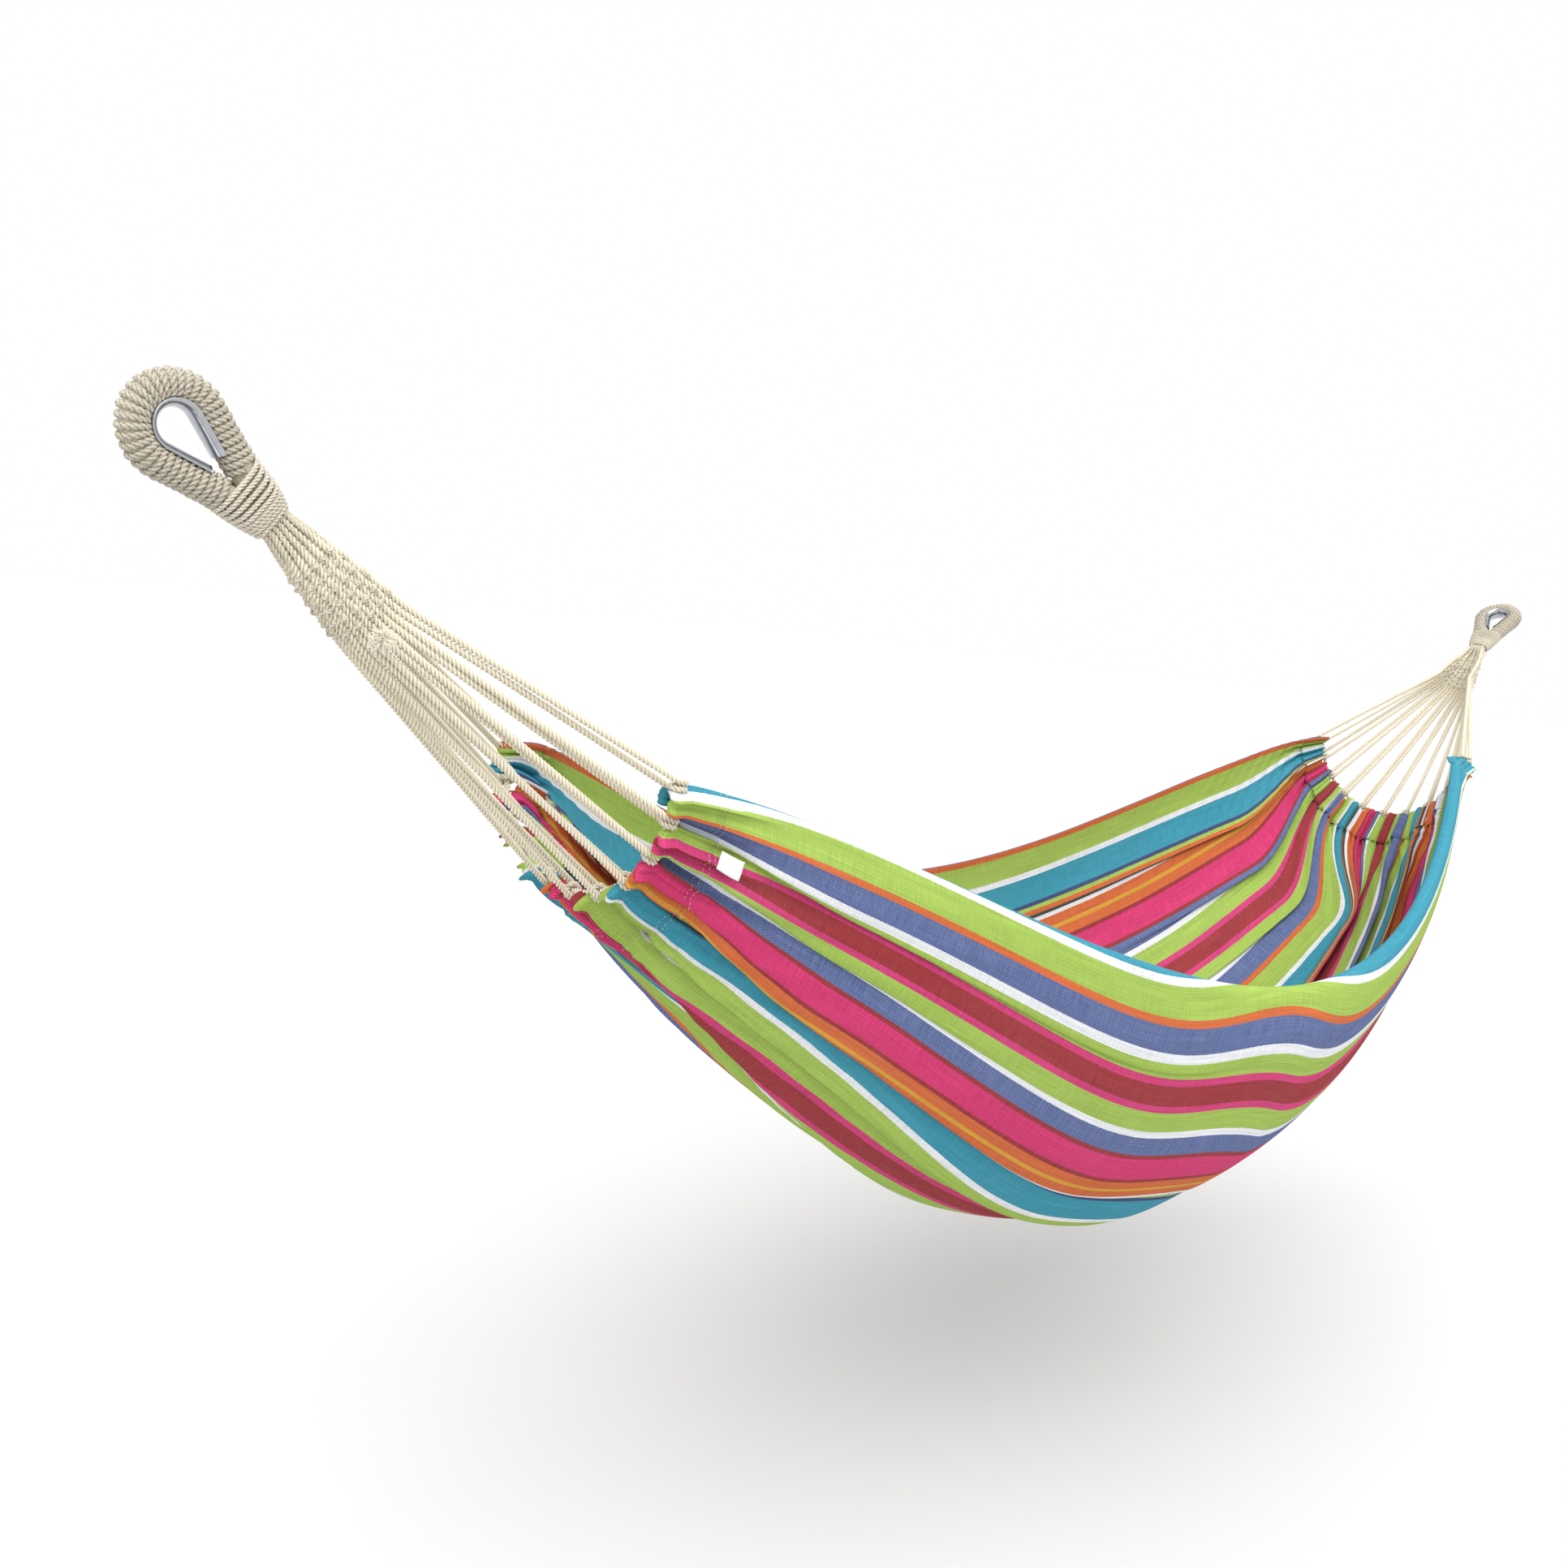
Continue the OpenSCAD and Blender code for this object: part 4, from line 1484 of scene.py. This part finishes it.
    def creases(self, s: Vec, u: float) -> Vec:
        """Return small hanging creases that fan out from the hems."""
        near = math.exp(-min(u, 1 - u) / 0.09)
        far = math.sin(math.pi * min(max(u, 0), 1))
        fan = 0.0020 * near * np.sin(2 * math.pi * s / 0.031 + 9 * u)
        seam_u = self.seam_inset / (SIZES.hung_span - SIZES.reach_a - SIZES.reach_b)
        at_seam = math.exp(-(((min(u, 1 - u) - seam_u) / 0.014) ** 2))
        pucker = 0.0017 * at_seam * np.sin(2 * math.pi * s / 0.0105 + 4 * np.sin(s / 0.02)) - 0.0016 * at_seam
        drift = 0.0022 * far * np.sin(2 * math.pi * s / 0.19 + 6 * u) * math.sin(7 * u + 1)
        return fan + pucker + drift

    def channel(self, end: End, t_seam: float) -> list[Vec]:
        """Return the rows of one hem channel, from the seam on the outside round to the inner flap.

        Args:
            end: Which hem.
            t_seam: Place of the seam along the span.

        Returns:
            The rows, in order away from the bed.
        """
        slit = self.slit()
        length = SIZES.hung_span - SIZES.reach_a - SIZES.reach_b
        full = 0.0085 * (1 - 0.72 * slit)
        edge = -0.0085 * (1 - slit) + 0.013 * slit
        seam = self.seam_inset
        rows: list[Vec] = []
        outer = np.linspace(0, 1, 9)
        around = np.linspace(0, math.pi, 9)[1:-1]
        front = edge + full

        def row(distance: Vec, lift: Vec) -> Vec:
            """Return one row at distances from the cord and heights off the bed."""
            base = float(np.clip(distance.min(), 0.0, seam)) / length
            t = base if end is End.A else 1 - base
            away = distance / length - base
            return self.place_row(t, t_seam if end is End.A else 1 - t_seam, lift, away if end is End.A else -away)

        for share in outer:
            distance = seam + (front - seam) * share
            rows.append(row(distance, full * np.sin(math.pi / 2 * share) ** 0.8 - 0.0018 * (1 - share)))
        for turn in around:
            rows.append(row(front - full * np.sin(turn), full * np.cos(turn)))
        for share in outer[::-1]:
            distance = seam + 0.004 + (front - seam - 0.004) * share
            rows.append(row(distance, -full * np.sin(math.pi / 2 * share) ** 0.8 - 0.0029 * (1 - share)))
        return rows

    def stitches(self, seams: Vec) -> None:
        """Sew both seams with double rows of single stitches."""
        for end, pair in zip(End, (seams[:2], seams[2:])):
            parts = MeshParts()
            for line in pair:
                even, _ = resample(line, 0.0011)
                even = soften(even, 3)
                for first in range(0, len(even) - 5, 5):
                    run = even[first:first + 4].copy()
                    add_fibre(parts, run, 0.0004)
            piece = parts.build(f"seam_stitches_{end.value}")
            dress(piece, self.finishes.thread, Body.SLING, [f"hem_thread_{end.value}"])

    def tag(self) -> None:
        """Sew the blank tag to the first seam."""
        across = np.linspace(-0.008, 0.008, 10)
        down = np.linspace(0, 0.022, 14)
        length = SIZES.hung_span - SIZES.reach_a - SIZES.reach_b
        side = math.radians(-68) + across / 0.16
        grid = []
        for d in down:
            t = (self.seam_inset + 0.004 + d) / length
            lift = 0.0165 + 0.0030 * math.sin(d / 0.022 * 2.4) + 0.0012 * np.sin(across / 0.008 * 2)
            grid.append(BED.point(t, side) + BED.outward(np.full_like(side, t), side) * lift[:, None])
        grid = np.array(grid)
        uv = np.stack(np.meshgrid(across, down), -1)
        parts = MeshParts()
        parts.add_grid(grid, uv)
        piece = parts.build("blank_tag")
        thick = piece.modifiers.new("thickness", "SOLIDIFY")
        thick.thickness = 0.0006
        dress(piece, self.finishes.label, Body.SLING, ["blank_label"])

    def build(self) -> None:
        """Make the sheet, its stitches and its tag."""
        grid, uv, seams = self.rows()
        parts = MeshParts()
        parts.add_grid(grid, uv)
        piece = parts.build("striped_cloth")
        thick = piece.modifiers.new("thickness", "SOLIDIFY")
        thick.thickness = self.thickness
        thick.offset = 0.0
        nodes = ["bed_cloth", "hem_pocket_a", "hem_pocket_b"]
        dress(piece, self.finishes.cloth, Body.SLING, nodes)
        self.stitches(seams)
        self.tag()


# ---------- camera, floor and light ----------


@dataclass(frozen=True)
class Studio:
    """The camera, the pale floor and the soft lights."""

    camera_place: tuple[float, float, float] = (-0.467, -1.1295, -0.0766)
    yaw: float = math.radians(44.489)
    pitch: float = math.radians(-7.486)
    roll: float = math.radians(5.490)
    lens: float = 34.03
    floor_z: float = -1.22
    floor_tone: float = 0.63
    sun_power: float = 2.9

    def camera(self) -> None:
        """Set up the camera."""
        cy, sy = math.cos(self.yaw), math.sin(self.yaw)
        cp, sp = math.cos(self.pitch), math.sin(self.pitch)
        forward = np.array([cy * cp, sy * cp, sp])
        right = np.array([sy, -cy, 0.0])
        up = np.cross(right, forward)
        cr, sr = math.cos(self.roll), math.sin(self.roll)
        right, up = cr * right + sr * up, cr * up - sr * right
        data = bpy.data.cameras.new("camera")
        data.lens = self.lens
        data.sensor_width = 36.0
        data.clip_start = 0.01
        holder = bpy.data.objects.new("camera", data)
        turned = Matrix((right, up, -forward)).transposed().to_4x4()
        holder.matrix_world = Matrix.Translation(self.camera_place) @ turned
        bpy.context.scene.collection.objects.link(holder)
        bpy.context.scene.camera = holder

    def floor(self) -> None:
        """Lay the pale floor."""
        g = Graph("pale_floor")
        mottle = g.noise(g.object_place(), 3.0, 3)
        colour = g.mix(mottle, grey(self.floor_tone), grey(self.floor_tone + 0.02))
        material = g.surface({"Base Color": colour, "Roughness": 0.9, "Specular IOR Level": 0.05})
        reach = 30.0
        corners = np.array([[[-reach, -reach, 0], [reach, -reach, 0]], [[-reach, reach, 0], [reach, reach, 0]]])
        parts = MeshParts()
        parts.add_grid(corners + self.floor_z * UP, np.zeros((2, 2, 2)))
        piece = parts.build("floor", smooth=False)
        piece.data.materials.append(material)

    def sun(self, toward: Sequence[float]) -> None:
        """Shine one very wide soft light from far away.

        Args:
            toward: The direction that the light comes from.
        """
        data = bpy.data.lights.new("soft_sky", "SUN")
        data.energy = self.sun_power
        data.angle = math.radians(70)
        holder = bpy.data.objects.new("soft_sky", data)
        back = unit(np.array(toward, float))
        right = unit(np.cross(UP, back))
        holder.matrix_world = Matrix((right, np.cross(back, right), back)).transposed().to_4x4()
        bpy.context.scene.collection.objects.link(holder)

    def world(self) -> None:
        """Fill the room with even white light."""
        world = bpy.data.worlds.new("studio")
        world.use_nodes = True
        sky = world.node_tree.nodes["Background"]
        sky.inputs["Color"].default_value = (1.0, 1.0, 1.0, 1.0)
        sky.inputs["Strength"].default_value = 1.0
        bpy.context.scene.world = world

    def build(self) -> None:
        """Set up the camera, the floor and the lights."""
        self.camera()
        self.floor()
        self.world()
        self.sun((-0.35, -0.45, 0.82))
        bpy.context.scene.view_settings.view_transform = "Standard"


def main() -> None:
    """Build the scene."""
    Studio().build()
    finishes = Finishes.make()
    for end in End:
        Eye(end, finishes).build()
        Rigging(end, finishes).build()
    Cloth(finishes).build()
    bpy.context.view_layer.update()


if __name__ == "__main__":
    main()
